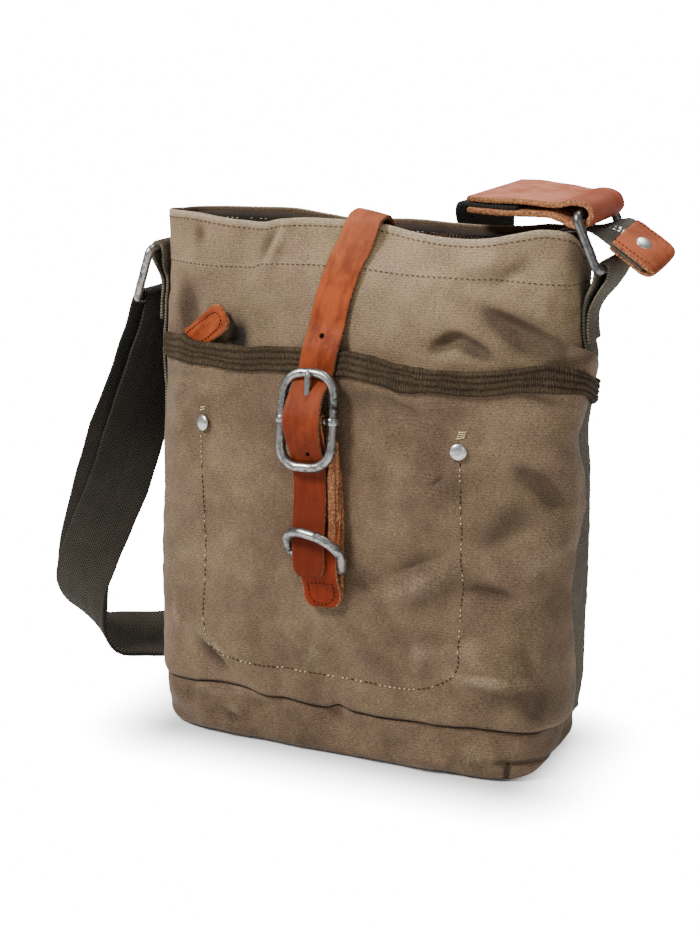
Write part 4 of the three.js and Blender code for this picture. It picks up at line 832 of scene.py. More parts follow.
def baseBoot():
    us = ringColumns(bagSizes["columns"])
    fromCorner = perimeter(us - baseSizes["corner"])
    top = seamHeight(us) - bagSizes["clear"]
    bend = bagSizes["rounding"]
    rings, crease, heights = [], [], []

    def ring(z, inward, lowest):
        radius = bend - inward
        drop = np.clip((z - lowest) / radius, 0, 1)
        inset = radius * (1 - np.sqrt(1 - (1 - drop) ** 2))
        line = 11.5 - 7 * np.clip((us - 0.19) / 0.06, 0, 1)
        corner = smooth(0.155, 0.168, us) * smooth(0.262, 0.24, us)
        groove = 1.3 * corner * bell(z - line, 1.5) + 1.6 * bell(fromCorner, 1.8) * smooth(13.5, 11, z)
        tuck = groove + 2.0 * (1 - np.sqrt(1 - 0.98 * np.clip(1 - (top - z) / 3.6, 0, 1) ** 2))
        face = skinNormal(us, np.maximum(z, bend))
        face[:, 2] = 0
        spot = skin(us, z) - unit(face) * (baseSizes["inside"] + inward + inset + tuck)[:, None]
        spot[:, 2] = z
        rings.append(spot)
        heights.append(z)
        # the corner groove is painted darker: painted shade
        crease.append((creaseOf(us, z) - 0.7 * groove) * (1 if inward == 0 else 0.3))

    shares = [np.sin(np.linspace(0, 0.5, 9)) ** 2, np.linspace(0.26, 0.86, 22), [0.9, 0.94, 0.97, 0.99, 1]]
    for share in np.concatenate(shares):
        ring(share * top, 0.0, 0.0)
    thick = bagSizes["canvas"]
    for share in [1, 0.96, 0.9, 0.7, 0.45, 0.25, 0.1, 0.03, 0]:
        ring(thick + share * (top - thick), thick, thick)
    ups = np.stack(heights)
    # painted shadow under the body's overlap at the top and a painted contact shadow along the bottom edge;
    # then the corner seam's dark line
    seam = 0.9 * smooth(1.0, 0.4, top - ups) + 0.75 * smooth(2.4, 0.8, ups)
    seam += 0.8 * bell(fromCorner, 1.3) * smooth(13, 11, ups)
    # stations are rings here, so the cloth's grid is given the other way round
    return skinned("base_canvas", np.stack(rings), [canvasCloth], cap="fill",
                   flat=(ups.mean(1), closedRound(us)), turnFlat=True,
                   marks={"crease": np.stack(crease), "tone": np.full_like(ups, baseSizes["tone"]),
                          "seam": seam})


settle(baseBoot(), "canvas", "base_panel")


def pocketLift(u, z):
    return pocketStandoff(u, z) + seamTurn(u, z)


pocketSide = [(20, 0.252), (45, 0.247), (60, 0.242), (75, 0.23), (92, 0.222), (120, 0.226), (138, 0.242),
              (155, 0.252), (172, 0.247), (187, 0.244), (205, 0.25), (225, 0.252)]


# pocket: its right side, where the side's table takes over, soft edge and edge step, as shares of the girth
pocketSizes = {"side": 0.25, "turn": 0.2, "soft": 0.0018, "step": 0.0006, "columns": 210, "rows": 104}


def pocketWall():
    edge, side, turn = bagSizes["pocketEdge"], pocketSizes["side"], pocketSizes["turn"]
    soft, step = pocketSizes["soft"], pocketSizes["step"]
    middle = np.linspace(-edge + soft, side - soft, pocketSizes["columns"])
    us = np.concatenate([[-edge, -edge + step], middle, [side - step, side]])
    ends = np.minimum(np.minimum(us + edge, side - us) / soft, 1)
    plump = 0.45 + 0.55 * np.sqrt(1 - (1 - ends) ** 2)
    shares = rowShares(1, pocketSizes["rows"]) * bagSizes["pocketShare"]
    sideEdge = curveThrough(pocketSide, wallHeight(np.full_like(shares, side), shares))
    grid = us[:, None]
    grid = np.where(grid > turn, turn + (grid - turn) * (sideEdge - turn) / 0.05, grid)
    heights = wallHeight(grid, shares[None, :])
    middle = pocketLift(grid, heights) + bagSizes["pocket"] / 2
    half = bagSizes["pocket"] / 2 * np.broadcast_to(plump[:, None], heights.shape)
    outer = skinOffset(grid, heights, middle + half)
    inner = skinOffset(grid, heights, middle - half)
    points, ups = faced(outer, inner), faced(heights, heights)
    crease = creaseOf(grid, heights)
    worn = 0.35 * np.broadcast_to((bell(us + edge, 0.004) + bell(us - side, 0.004))[:, None], ups.shape)
    # dark along the base seam, partly the seam line and partly painted shadow under the overlap, and a dark
    # seam line at the right edge
    seam = 0.9 * smooth(1.1, 0.4, heights - seamHeight(grid)) + 0.95 * bell(us - side, 0.0022)[:, None]
    xs, zs = points[..., 0], points[..., 2]
    tone = 0.13 + 0.1 * smooth(30, 100, np.abs(xs - 15)) + 0.1 * smooth(70, 110, xs) * smooth(120, 190, zs)
    return skinned("pocket_canvas", points, [canvasCloth], flat=(perimeter(us), ups),
                   marks={"crease": faced(crease, crease * 0), "lip": worn, "tone": tone,
                          "seam": faced(seam, seam)})


settle(pocketWall(), "canvas", "pocket_panel")


# flap: where it leaves the wall, its thickest half, the soft part of its end and top
flapSizes = {"start": 0.208, "half": 0.6, "endSoft": 0.06, "topSoft": 2.0, "top": 246, "low": 219,
             "tone": 0.42}


def panelFlap():
    # the panel's edge lies over the webbing above the band
    start, top = flapSizes["start"], flapSizes["top"]
    zs = np.linspace(flapSizes["low"], top, 22)
    ends = curveThrough([(219, 0.262), (228, 0.262), (234, 0.25), (239, 0.232), (246, 0.216)], zs)
    shares = np.concatenate([np.linspace(0, 0.94, 24), [0.97, 0.99, 1]])
    grid = start + (ends[None, :] - start) * shares[:, None]
    heights = np.broadcast_to(zs, grid.shape)
    endSoft, topSoft = flapSizes["endSoft"], flapSizes["topSoft"]
    near = np.minimum(np.minimum((1 - shares)[:, None] / endSoft, (top + 0.6 - zs) / topSoft), 1)
    half = flapSizes["half"] * np.sqrt(1 - (1 - near) ** 2 * 0.9)
    middle = -1.2 + 4.9 * smooth(start, 0.236, grid) * smooth(248, 233, heights)
    outer, inner = skinOffset(grid, heights, middle + half), skinOffset(grid, heights, middle - half)
    ups = faced(heights, heights)
    rim = np.broadcast_to(bell(1 - shares, endSoft)[:, None], ups.shape)
    return skinned("panel_edge", faced(outer, inner), [canvasCloth], flat=(perimeter(grid[:, 10]), ups),
                   marks={"tone": np.full(ups.shape, flapSizes["tone"]), "lip": 0.3 * rim,
                          "crease": creaseOf(faced(grid, grid), ups)})


settle(panelFlap(), "canvas")

# band: fall and rise at the pocket's edge, thickness, right end, ridges, rounding and seat
bandSizes = {"drop": 11.5, "rise": 1.9, "leg": 1.0, "end": 0.263, "ridges": 3.5, "round": 1.1, "seat": 0.7}


def bandSlack(us):
    return 0.5 + 0.35 * smooth(0.14, 0.18, np.abs(us))


def pocketBinding():
    edge = bagSizes["pocketEdge"]
    us = np.linspace(-edge, bandSizes["end"], 230)
    top = wallHeight(us, bagSizes["pocketShare"])
    stand = pocketStandoff(us, top)
    slack = bandSlack(us)
    inside, outside = stand - slack, stand + bagSizes["pocket"] + slack
    leg, drop, rise, bend, seat = (bandSizes[key] for key in ("leg", "drop", "rise", "round", "seat"))
    outerPath, innerPath, grooveShade = [], [], []
    for t in np.linspace(0, 1, 29):
        dz = -drop + (rise - bend + drop) * t
        ridge = abs(math.sin(bandSizes["ridges"] * math.pi * t))
        grooveShade.append((1 - ridge) ** 1.4)
        belly = 0.1 * math.sin(math.pi * t) + 0.75 * ridge**0.7
        soft = 0.35 if t == 0 else 0.0
        outerPath.append((outside + leg - soft + belly, dz))
        innerPath.append((outside, min(dz, seat)))
    for share, lift in ((0.08, -0.35), (0.3, -0.02), (0.5, 0.06), (0.7, -0.02), (0.92, -0.35)):
        wide = outside + leg - (outside - inside + 2 * leg) * share
        outerPath.append((wide, rise + lift))
        innerPath.append((outside - (outside - inside) * share, seat))
    for t in np.linspace(0, 1, 4):
        dz = rise - bend + (-drop * 0.5 - rise + bend) * t
        outerPath.append((inside - leg, dz))
        innerPath.append((inside, min(dz, seat)))
    path = outerPath + innerPath[::-1]
    points = np.stack([skinOffset(us, top + dz, lift) for lift, dz in path], 1)
    ups = np.array([dz for lift, dz in path])
    # the grooves between the ridges are painted darker: painted shade
    dark = np.zeros(points.shape[:2])
    dark[:, :len(grooveShade)] = grooveShade
    return skinned("pocket_binding", points, [bindingTape],
                   flat=(perimeter(us), np.append(ups, ups[0])), marks={"edge": dark})


settle(pocketBinding(), "binding", "pocket_band")


# straps
def centripetal(centres, times):
    centres = np.asarray(centres, float)
    ends = np.concatenate([[2 * centres[0] - centres[1]], centres, [2 * centres[-1] - centres[-2]]])
    spans = len(centres) - 1
    i = np.minimum(times.astype(int), spans - 1)
    t = (times - i)[:, None]
    p0, p1, p2, p3 = ends[i], ends[i + 1], ends[i + 2], ends[i + 3]
    d0, d1, d2 = (np.sqrt(np.linalg.norm(b - a, axis=1))[:, None] for a, b in ((p0, p1), (p1, p2), (p2, p3)))
    m1 = ((p1 - p0) / d0 - (p2 - p0) / (d0 + d1) + (p2 - p1) / d1) * d1
    m2 = ((p2 - p1) / d1 - (p3 - p1) / (d1 + d2) + (p3 - p2) / d2) * d1
    spot = p1 + m1 * t + (-3 * p1 + 3 * p2 - 2 * m1 - m2) * t**2 + (2 * p1 - 2 * p2 + m1 + m2) * t**3
    way = m1 + 2 * (-3 * p1 + 3 * p2 - 2 * m1 - m2) * t + 3 * (2 * p1 - 2 * p2 + m1 + m2) * t**2
    return spot, unit(way)


def stationsThrough(centres, acrosses, spacing, endRound=1.0):
    spans = len(centres) - 1
    times = np.linspace(0, spans, spans * 24 + 1)
    spot, way = centripetal(centres, times)
    acrosses = np.asarray(acrosses, float)
    i = np.minimum(times.astype(int), spans - 1)
    across = acrosses[i] + (acrosses[i + 1] - acrosses[i]) * (times - i)[:, None]
    run = runLength(spot)
    total = run[-1]
    close = endRound * np.array([0, 0.08, 0.28, 0.6])
    inner = np.linspace(endRound, total - endRound, max(3, int((total - 2 * endRound) / spacing)))
    places = np.concatenate([close, inner, total - close[::-1]])
    centre, along, across = (sampled(places, run, rows) for rows in (spot, way, across))
    along = unit(along)
    return {"centre": centre, "along": along, "across": squareTo(along, across), "run": places,
            "total": total}


def strapPiece(name, stations, half, thick, finishes, steps=14, endRound=1.0, belly=0.0, rough=0.0, seed=1):
    # finishes: face, raw edge, back
    run, total = stations["run"], stations["total"]
    half = np.broadcast_to(np.asarray(half, float), run.shape)
    near = np.minimum(run, total - run)
    plump = np.sqrt(np.clip(1 - (1 - np.clip(near / endRound, 0, 1)) ** 2, 0.04, 1))
    normal = np.cross(stations["across"], stations["along"])
    rimSteps = [(0.0, 0.16), (0.18, 0.36), (0.5, 0.47), (1.0, 0.5)]
    middle = np.linspace(-1, 1, steps + 1)[1:-1]
    bottom = [(-1, inset, depth) for inset, depth in rimSteps]
    bottom += [(m, None, 0.5) for m in middle]
    bottom += [(1, inset, depth) for inset, depth in rimSteps[::-1]]
    centre, across = stations["centre"], stations["across"]
    fray, frayRight = (rough * ripple(centre, seed + k, 7) + rough * 0.7 * ripple(centre, seed + k + 1, 2.6)
                       for k in (40, 50))
    rows, shares = [], []
    for level in (-1, 1):
        order = bottom if level < 0 else bottom[::-1]
        for side, inset, depth in order:
            if inset is None:
                a = side * (half - 1.0)
            else:
                a = side * (half - inset - (fray if side < 0 else frayRight) * (1 - inset))
            crown = belly * (1 - (a / half) ** 2)
            out = level * thick * depth * plump + crown
            rows.append(centre + across * a[:, None] + normal * out[:, None])
            shares.append(a)
    points = np.stack(rows, 1)
    widths = np.stack(shares, 1)
    size, per = len(rows), len(bottom)
    slots = np.zeros(size, int)
    slots[:per] = min(2, len(finishes) - 1)
    edgeRows = [0, 1, per - 1, per - 2, per - 3, per, per + 1, size - 1, size - 2, size - 3]
    for k in edgeRows:
        slots[k] = min(1, len(finishes) - 1)
    edge = np.clip(np.abs(widths) / half[:, None], 0, 1) ** 4
    return skinned(name, points, finishes, slots, flat=(run, closedRing(widths)), marks={"edge": edge})


def runPoint(row):
    return np.array(row[1:], float) if row[0] == "over" else onPanel(*row)


def runPoints(rows):
    return [runPoint(r) for r in rows]


def runFace(row):
    if row[0] == "over":
        return unit([0, -0.8 if row[2] < -24 else -0.35, 0.1 if row[2] < -29 else 0.9])
    return panelNormal(*row[:3]) * (-1 if row[3] < 0 else 1)


def acrossFromFaces(centres, faces):
    made = []
    for k in range(len(centres)):
        ahead = centres[min(k + 1, len(centres) - 1)] - centres[max(k - 1, 0)]
        made.append(unit(np.cross(ahead, faces[k])))
    return made


def joinPieces(name, pieces):
    first = pieces[0]
    with bpy.context.temp_override(active_object=first, object=first, selected_objects=pieces,
                                   selected_editable_objects=pieces):
        bpy.ops.object.join()
    first.name = name
    first.data.name = name
    return first


leatherSizes = {"thick": 2.2, "strap": 19.6, "anchor": 22.5, "round": 7, "end": 38, "endThick": 3.3}
metalSizes = {"buckleWire": 2.4, "buckleHalf": 15.2, "buckleHigh": 25.5, "bar": 1.8, "prong": 1.2,
              "keeperWire": 2.0, "ringWire": 2.5, "ringHalf": 22.5}

# buckle frame of reference
buckleX = -14.4
frameTop = onPanel("front", buckleX, 194 + metalSizes["buckleHigh"], 11.6)
frameLow = onPanel("front", buckleX + 1.2, 194 - metalSizes["buckleHigh"], 14.6)
frameUp = unit(frameTop - frameLow)
frameRight = unit(np.array([1.0, 0, 0]) - frameUp * frameUp[0])
frameOut = np.cross(frameRight, frameUp)
frameCentre = (frameTop + frameLow) / 2
frameHalf = np.linalg.norm(frameTop - frameLow) / 2


def fromFrame(side, up, out):
    return frameCentre + frameRight * side + frameUp * up + frameOut * out


def onFront(rows):
    return [("front",) + row for row in rows]


# strap routes: side, x, height and lift, or a plain point over the rim
closureRun = [
    ("back", 24, 250, -7.4), ("back", 22.5, 262, -7.4), ("back", 21, 272, -8), ("over", 19, 11, 279),
    ("over", 15.4, -4, 288.6), ("over", 13.2, -13.5, 299.6), ("over", 11.5, -20, 306.4),
    ("over", 9.6, -27.6, 305), ("over", 7.4, -30, 299),
] + onFront([(4, 291, 2.2), (-1.6, 280, 1.9), (-8.3, 259.6, 1.8), (-10.6, 245, 2.3), (-11.3, 237, 5.4),
             (-11.8, 231, 7.4)])
tailRun = onFront([(-10.9, 152, 10.3), (-10.2, 137, 12.3), (-9.4, 125, 14), (-8.6, 115, 14.1),
                   (-8.2, 108.5, 13.4)])
underOut = -metalSizes["buckleWire"] - 0.75 - leatherSizes["thick"] / 2
barOut = metalSizes["bar"] + 0.35 + leatherSizes["thick"] * 1.5 + 0.5
buckleRun = [(0.8, frameHalf, underOut), (0.8, 18.4, 0.8), (0.6, 11.5, 4.9), (0.5, 0, barOut + 0.4),
             (0.6, -9, 5), (0.8, -17, 1.2), (1, -frameHalf, underOut)]


def closingStrap():
    centres = runPoints(closureRun) + [fromFrame(*r) for r in buckleRun] + runPoints(tailRun)
    faces = [runFace(r) for r in closureRun] + [frameOut] * len(buckleRun) + [runFace(r) for r in tailRun]
    stations = stationsThrough(centres, acrossFromFaces(centres, faces), 1.5)
    left = stations["total"] - stations["run"]
    half = leatherSizes["strap"] / 2 - 3.2 * np.clip(1 - left / 7, 0, 1) ** 2
    low = (stations["centre"] - frameCentre) @ frameUp
    above = 0.75 * smooth(12, 30, low)
    half = half + 0.25 * ripple(stations["centre"], 61, 40) + 1.3 * bell(low, 13) + above
    stations["centre"] = stations["centre"] + frameOut * (2.6 * bell(low, 11))[:, None]
    stations["centre"] = stations["centre"] + frameRight * above[:, None]
    return strapPiece("closing_leather", stations, half, leatherSizes["thick"],
                      [tanLeather, rawLeather, rawLeather],
                      rough=0.08, seed=21, belly=0.18)


closingPiece = closingStrap()


def cutHoles(piece, holes):
    # holes: start, end and radius in millimetres
    for start, end, radius in holes:
        start, end = np.asarray(start, float), np.asarray(end, float)
        axis = unit(end - start)
        side = unit(np.cross(axis, [0.3, 0.2, 0.9]))
        other = np.cross(axis, side)
        turns = circle(20)
        ring = radius * (np.cos(turns)[:, None] * side + np.sin(turns)[:, None] * other)
        rings = np.stack([start + ring, end + ring])
        tool = skinned("holeTool", rings, [tanLeather, rawLeather], 1, cap="fill")
        cut = piece.modifiers.new("hole", "BOOLEAN")
        cut.object = tool
        cut.operation = "DIFFERENCE"
        cut.solver = "EXACT"
        evaluated = piece.evaluated_get(bpy.context.evaluated_depsgraph_get())
        fresh = bpy.data.meshes.new_from_object(evaluated)
        piece.modifiers.clear()
        piece.data = fresh
        bpy.data.objects.remove(tool)
    return piece


prongSide = 1
eyeRadius = metalSizes["bar"] + 0.3 + metalSizes["prong"]
tongueFoot = fromFrame(prongSide, 1.2, eyeRadius)
tongueTip = fromFrame(prongSide, frameHalf + 2.2, metalSizes["buckleWire"] + 0.3 + metalSizes["prong"])
spareHole = onPanel("front", -11.2, 239.5, 5)
lowHole = fromFrame(2.2, -18.4, 0)
cutHoles(closingPiece, [(tongueFoot, tongueTip, metalSizes["prong"] + 0.75),
                        (spareHole + frameOut * 12, spareHole - frameOut * 6, 1.5),
                        (lowHole + frameOut * 9, lowHole - frameOut * 3.2, 1.3)])
settle(closingPiece, "leather", "closure_strap")

anchorUnder = onFront([(-2.6, 90.5, 4), (-3, 104, 4.1), (-3.2, 118, 4.2), (-5, 145, 4.7)])
wrapRadius = metalSizes["bar"] + 0.45 + leatherSizes["thick"] / 2
slant = wrapRadius * 0.71
# up, out and aside
wrapRun = [(-frameHalf, -9.2, 4), (-16, -7, 4), (-8, -4.4, 2.4), (0, -wrapRadius, 0.4), (slant, -slant, 0),
           (wrapRadius, 0, 0), (slant, slant, 0), (0, wrapRadius, 0), (-8, 1.5, 0), (-16, -2.4, 0.4),
           (-frameHalf, -7.1, 3.4)]
anchorOver = onFront([(-5.6, 148, 7.9), (-4.4, 134, 9.4), (-4.2, 123, 11.4), (-4, 113, 11.4),
                      (-3.6, 106, 9.6), (-3.2, 100, 7), (-2.6, 90.5, 6.7)])


def anchorStrap():
    centres = runPoints(anchorUnder)
    centres += [fromFrame(0.3 - 0.06 * up + aside, up, out) for up, out, aside in wrapRun]
    centres += runPoints(anchorOver)
    stations = stationsThrough(centres, [(1.0, 0, 0)] * len(centres), 1.2)
    run, total, bend = stations["run"], stations["total"], leatherSizes["round"]
    near = np.clip(bend - np.minimum(run, total - run), 0, bend)
    neck = smooth(130, 165, stations["centre"][:, 2])
    half = (leatherSizes["anchor"] + (leatherSizes["strap"] - leatherSizes["anchor"]) * neck) / 2
    half = half - bend + np.sqrt(np.clip(bend**2 - near**2, 0, None))
    shift = 2.4 * bell(stations["centre"][:, 2] - 160, 24)
    stations["centre"] = stations["centre"] + frameRight * shift[:, None]
    return strapPiece("anchor_leather", stations, half, leatherSizes["thick"], [paleRaw, paleRaw, redLeather],
                      rough=0.16, seed=31)


settle(anchorStrap(), "leather", "anchor_strap")


def anchorEdge(name, aside, lift, top, bottom, seed):
    # the folded strap's raw layers show along its right side
    zs = np.linspace(top, bottom, 9)
    rise = (zs - bottom) / (top - bottom)
    centres = [onPanel("front", 3.0 + aside - 3.2 * r, z, 11.0 + lift + 1.4 * r) for z, r in zip(zs, rise)]
    stations = stationsThrough(centres, [unit([0.8, 0.55, 0])] * len(centres), 1.2)
    half = 1.9 + 0.35 * ripple(stations["centre"], seed, 16)
    return strapPiece(name, stations, half, 1.9, [paleRaw, rawLeather, paleRaw], rough=0.12, seed=seed,
                      steps=6)


edgePieces = [anchorEdge("edgeOne", 1.0, 0.0, 190, 128, 141), anchorEdge("edgeTwo", 3.0, -2.0, 184, 126, 145)]
settle(joinPieces("anchor_layers", edgePieces), "leather")

pullSizes = {"wide": 16.6, "thick": 3.4, "round": 1.3, "corner": 6, "narrow": 5.4, "thread": 2.05}
pullRows = onFront([(-99, 227.6, 2.6), (-95, 230.3, 2.6), (-88, 235.4, 2.8), (-79.6, 241.6, 4.2),
                    (-71.2, 247.6, 7.2)])
pullAcross = [unit(np.cross([0.81, -0.1, 0.55], panelNormal(*r[:3]))) for r in pullRows]


def pocketPull():
    stations = stationsThrough(runPoints(pullRows), pullAcross, 0.8, pullSizes["round"])
    left = stations["total"] - stations["run"]
    corner = np.clip(1 - left / pullSizes["corner"], 0, 1)
    half = pullSizes["wide"] / 2 - pullSizes["narrow"] * (1 - np.sqrt(np.clip(1 - corner**2, 0, 1)))
    return strapPiece("pull_leather", stations, half, pullSizes["thick"], [tanLeather, paleRaw, paleRaw],
                      rough=0.2, seed=36, belly=0.3, endRound=pullSizes["round"])


settle(pocketPull(), "leather", "pocket_pull")


# wire, domes and rods
def tube(name, path, radius, finish, closed=True, sides=16, worn=0.05, seed=3):
    path = np.asarray(path, float)
    ahead = np.roll(path, -1, 0) - np.roll(path, 1, 0)
    if not closed:
        ahead[0], ahead[-1] = path[1] - path[0], path[-1] - path[-2]
    ahead = unit(ahead)
    plane = path - path.mean(0)
    face = unit(np.linalg.svd(plane)[2][2]) if closed else unit(np.cross(ahead[0], [0.21, 0.36, 0.9]))
    side = unit(np.cross(ahead, face))
    other = np.cross(ahead, side)
    turns = circle(sides)
    radius = np.broadcast_to(np.asarray(radius, float), (len(path),))
    ring = np.cos(turns)[None, :, None] * side[:, None] + np.sin(turns)[None, :, None] * other[:, None]
    points = path[:, None] + ring * radius[:, None, None]
    dents = worn * (ripple(points, seed, 5) + 0.7 * ripple(points, seed + 1, 2.2))
    points = points + ring * dents[..., None]
    return skinned(name, points, [finish], closedAlong=closed)


def loopPath(centre, right, up, halfWide, halfHigh, cornerHigh, cornerLow=None, step=1.1):
    cornerLow = cornerHigh if cornerLow is None else cornerLow
    spots = []
    for q in range(4):
        signX, signY = (1 if q in (0, 3) else -1), (1 if q < 2 else -1)
        corner = cornerHigh if q < 2 else cornerLow
        for angle in np.linspace(q, q + 1, 10) * math.pi / 2:
            radial = right * math.cos(angle) + up * math.sin(angle)
            middle = centre + right * signX * (halfWide - corner) + up * signY * (halfHigh - corner)
            spots.append(middle + radial * corner)
    spots = np.array(spots + [spots[0]])
    run = runLength(spots)
    places = np.linspace(0, run[-1], int(run[-1] / step), endpoint=False)
    return sampled(places, run, spots)


def turned(name, centre, axis, profile, finish, sides=28):
    axis = unit(np.asarray(axis, float))
    side = unit(np.cross(axis, [0.31, 0.2, 0.93]))
    other = np.cross(axis, side)
    turns = circle(sides)
    ring = np.cos(turns)[:, None] * side + np.sin(turns)[:, None] * other
    points = np.stack([centre + ring * radius + axis * height for radius, height in profile])
    return skinned(name, points, [finish], cap="fill")


bucklePath = loopPath(frameCentre, frameRight, frameUp, metalSizes["buckleHalf"], frameHalf, 11.5)
buckleRadius = metalSizes["buckleWire"] + 0.4
settle(tube("buckle_wire", bucklePath, buckleRadius, oldSilver, worn=0.07, seed=8), "metal", "buckle_frame")


# collar: distance outside the wire and height along it
collarProfile = [(0.25, -2.2), (0.9, -2.3), (1.35, -1.7), (1.55, 0), (1.35, 1.7), (0.9, 2.3),
                 (0.25, 2.2), (0.2, 0)]


def buckleBar():
    reach = metalSizes["buckleHalf"] - metalSizes["buckleWire"] - 0.8
    rod = [fromFrame(s, 0, 0) for s in np.linspace(-reach, reach, 12)]
    pieces = [tube("barRod", rod, metalSizes["bar"], oldSilver, False)]
    for side in (-1, 1):
        middle = fromFrame(side * metalSizes["buckleHalf"], 0, 0)
        wire, rings = metalSizes["buckleWire"], []
        for t in circle(28):
            radial = frameRight * math.cos(t) + frameOut * math.sin(t)
            rings.append(np.stack([middle + radial * (wire + r) + frameUp * h for r, h in collarProfile]))
        points = np.stack(rings)
        pieces.append(skinned("collar", points, [oldSilver], closedAlong=True))
    return joinPieces("buckle_cross", pieces)


settle(buckleBar(), "metal", "buckle_bar")


def buckleProng():
    middle = fromFrame(prongSide, 0, 0)
    eye = [middle + (frameUp * math.cos(t) + frameOut * math.sin(t)) * eyeRadius for t in circle(30)]
    shares = np.linspace(0, 1, 26)
    tongue = tongueFoot + (tongueTip - tongueFoot) * shares[:, None] * 0.97
    tongue = tongue + frameOut * (0.5 * np.sin(math.pi * shares))[:, None]
    blunt = np.sqrt(np.clip(1 - ((shares - 0.9) / 0.104).clip(0, 1) ** 2, 0.05, 1))
    radius = metalSizes["prong"] * (1.7 - 0.2 * shares) * blunt
    return joinPieces("buckle_tongue", [tube("eye", eye, metalSizes["prong"], oldSilver),
                                        tube("tongue", tongue, radius, oldSilver, False)])


settle(buckleProng(), "metal", "buckle_prong")

keeperBack, keeperFront = onPanel("front", -6.2, 116, 7.75), onPanel("front", -11, 133, 20)
keeperFace = panelNormal("front", -6.2, 116)
keeperRight = np.array([0.97, 0, -0.24])
keeperRight = unit(keeperRight - keeperFace * (keeperRight @ keeperFace))
keeperUp = keeperFront - keeperBack
keeperUp = keeperUp - keeperRight * (keeperUp @ keeperRight)
keeperDeep = np.linalg.norm(keeperUp) / 2
keeperUp = unit(keeperUp)
keeperSizes = {"half": 17.4, "frontCorner": 10.5, "backCorner": 4, "aside": 1.2, "bow": 2.6, "worn": 0.8}
keeperCentre = keeperBack + keeperUp * keeperDeep - keeperRight * keeperSizes["aside"]
keeperPath = loopPath(keeperCentre, keeperRight, keeperUp, keeperSizes["half"], keeperDeep,
                      keeperSizes["frontCorner"], keeperSizes["backCorner"])
keeperSide = (keeperPath - keeperBack) @ keeperRight
keeperHigh = smooth(keeperDeep, 2 * keeperDeep, (keeperPath - keeperBack) @ keeperUp)
keeperPath = keeperPath + keeperUp * (keeperSizes["bow"] * bell(keeperSide, 11) * keeperHigh)[:, None]
keeperRadius = metalSizes["keeperWire"] + keeperSizes["worn"]
settle(tube("keeper_wire", keeperPath, keeperRadius, oldSilver, worn=0.06, seed=15), "metal", "keeper_ring")

sideward = np.array([0.0, 1, 0])
leftTop, leftLow = np.array([-128.8, 0, 279.5]), np.array([-138.5, 0, 249.5])
rightLow, rightTop = np.array([140.6, 0, 284.2]), np.array([128.8, 0, 312.8])
rightBar = unit([0.1, 0.99, 0.09])


def ringBetween(low, top, bar):
    up = top - low
    up = unit(up - bar * (up @ bar))
    return loopPath((low + top) / 2, bar, up, metalSizes["ringHalf"], np.linalg.norm(low - top) / 2, 3.6)


leftPath, rightPath = ringBetween(leftLow, leftTop, sideward), ringBetween(rightLow, rightTop, rightBar)
settle(tube("ring_wire_left", leftPath, metalSizes["ringWire"], oldSilver, seed=17), "metal", "ring_left")
settle(tube("ring_wire_right", rightPath, metalSizes["ringWire"], darkSteel, seed=19), "metal", "ring_right")

domeProfile = [(5.0, 0.0), (5.15, 0.3), (5.1, 0.75), (4.75, 1.2), (4.0, 1.6), (3.0, 1.9), (2.0, 2.1),
               (1.0, 2.2)]
rivetSpots = {"rivet_left": (-82.5, 184.7), "rivet_right": (71.9, 184.6)}


def onPocket(x, z, lift=0.0):
    x, z = np.asarray(x, float), np.asarray(z, float)
    u = shareAt(x, z)
    return skinOffset(u, z, pocketLift(u, z) + bagSizes["pocket"] + lift), skinNormal(u, z)


for node, (x, z) in rivetSpots.items():
    spots = {d: onPocket(x + d[0], z + d[1])[0] for d in ((4, 0), (-4, 0), (0, 4), (0, -4), (0, 0))}
    face = unit(np.cross(spots[(4, 0)] - spots[(-4, 0)], spots[(0, 4)] - spots[(0, -4)]))
    face = unit(face + np.array([-0.45 if x < 0 else 0.0, 0, 0]))
    profile = [(r * 0.92, h) for r, h in domeProfile]
    seat = spots[(0, 0)] + face * 0.15
    settle(turned(node.replace("rivet", "dome"), seat, face, profile, domeSilver), "metal", node)


# webbing
webSizes = {"wide": 37, "side": 30, "share": 0.0536, "thick": 2.2, "rows": 13 / 15, "strapTurn": 4.3,
            "turn": metalSizes["ringWire"] + bagSizes["clear"] + 1.1}


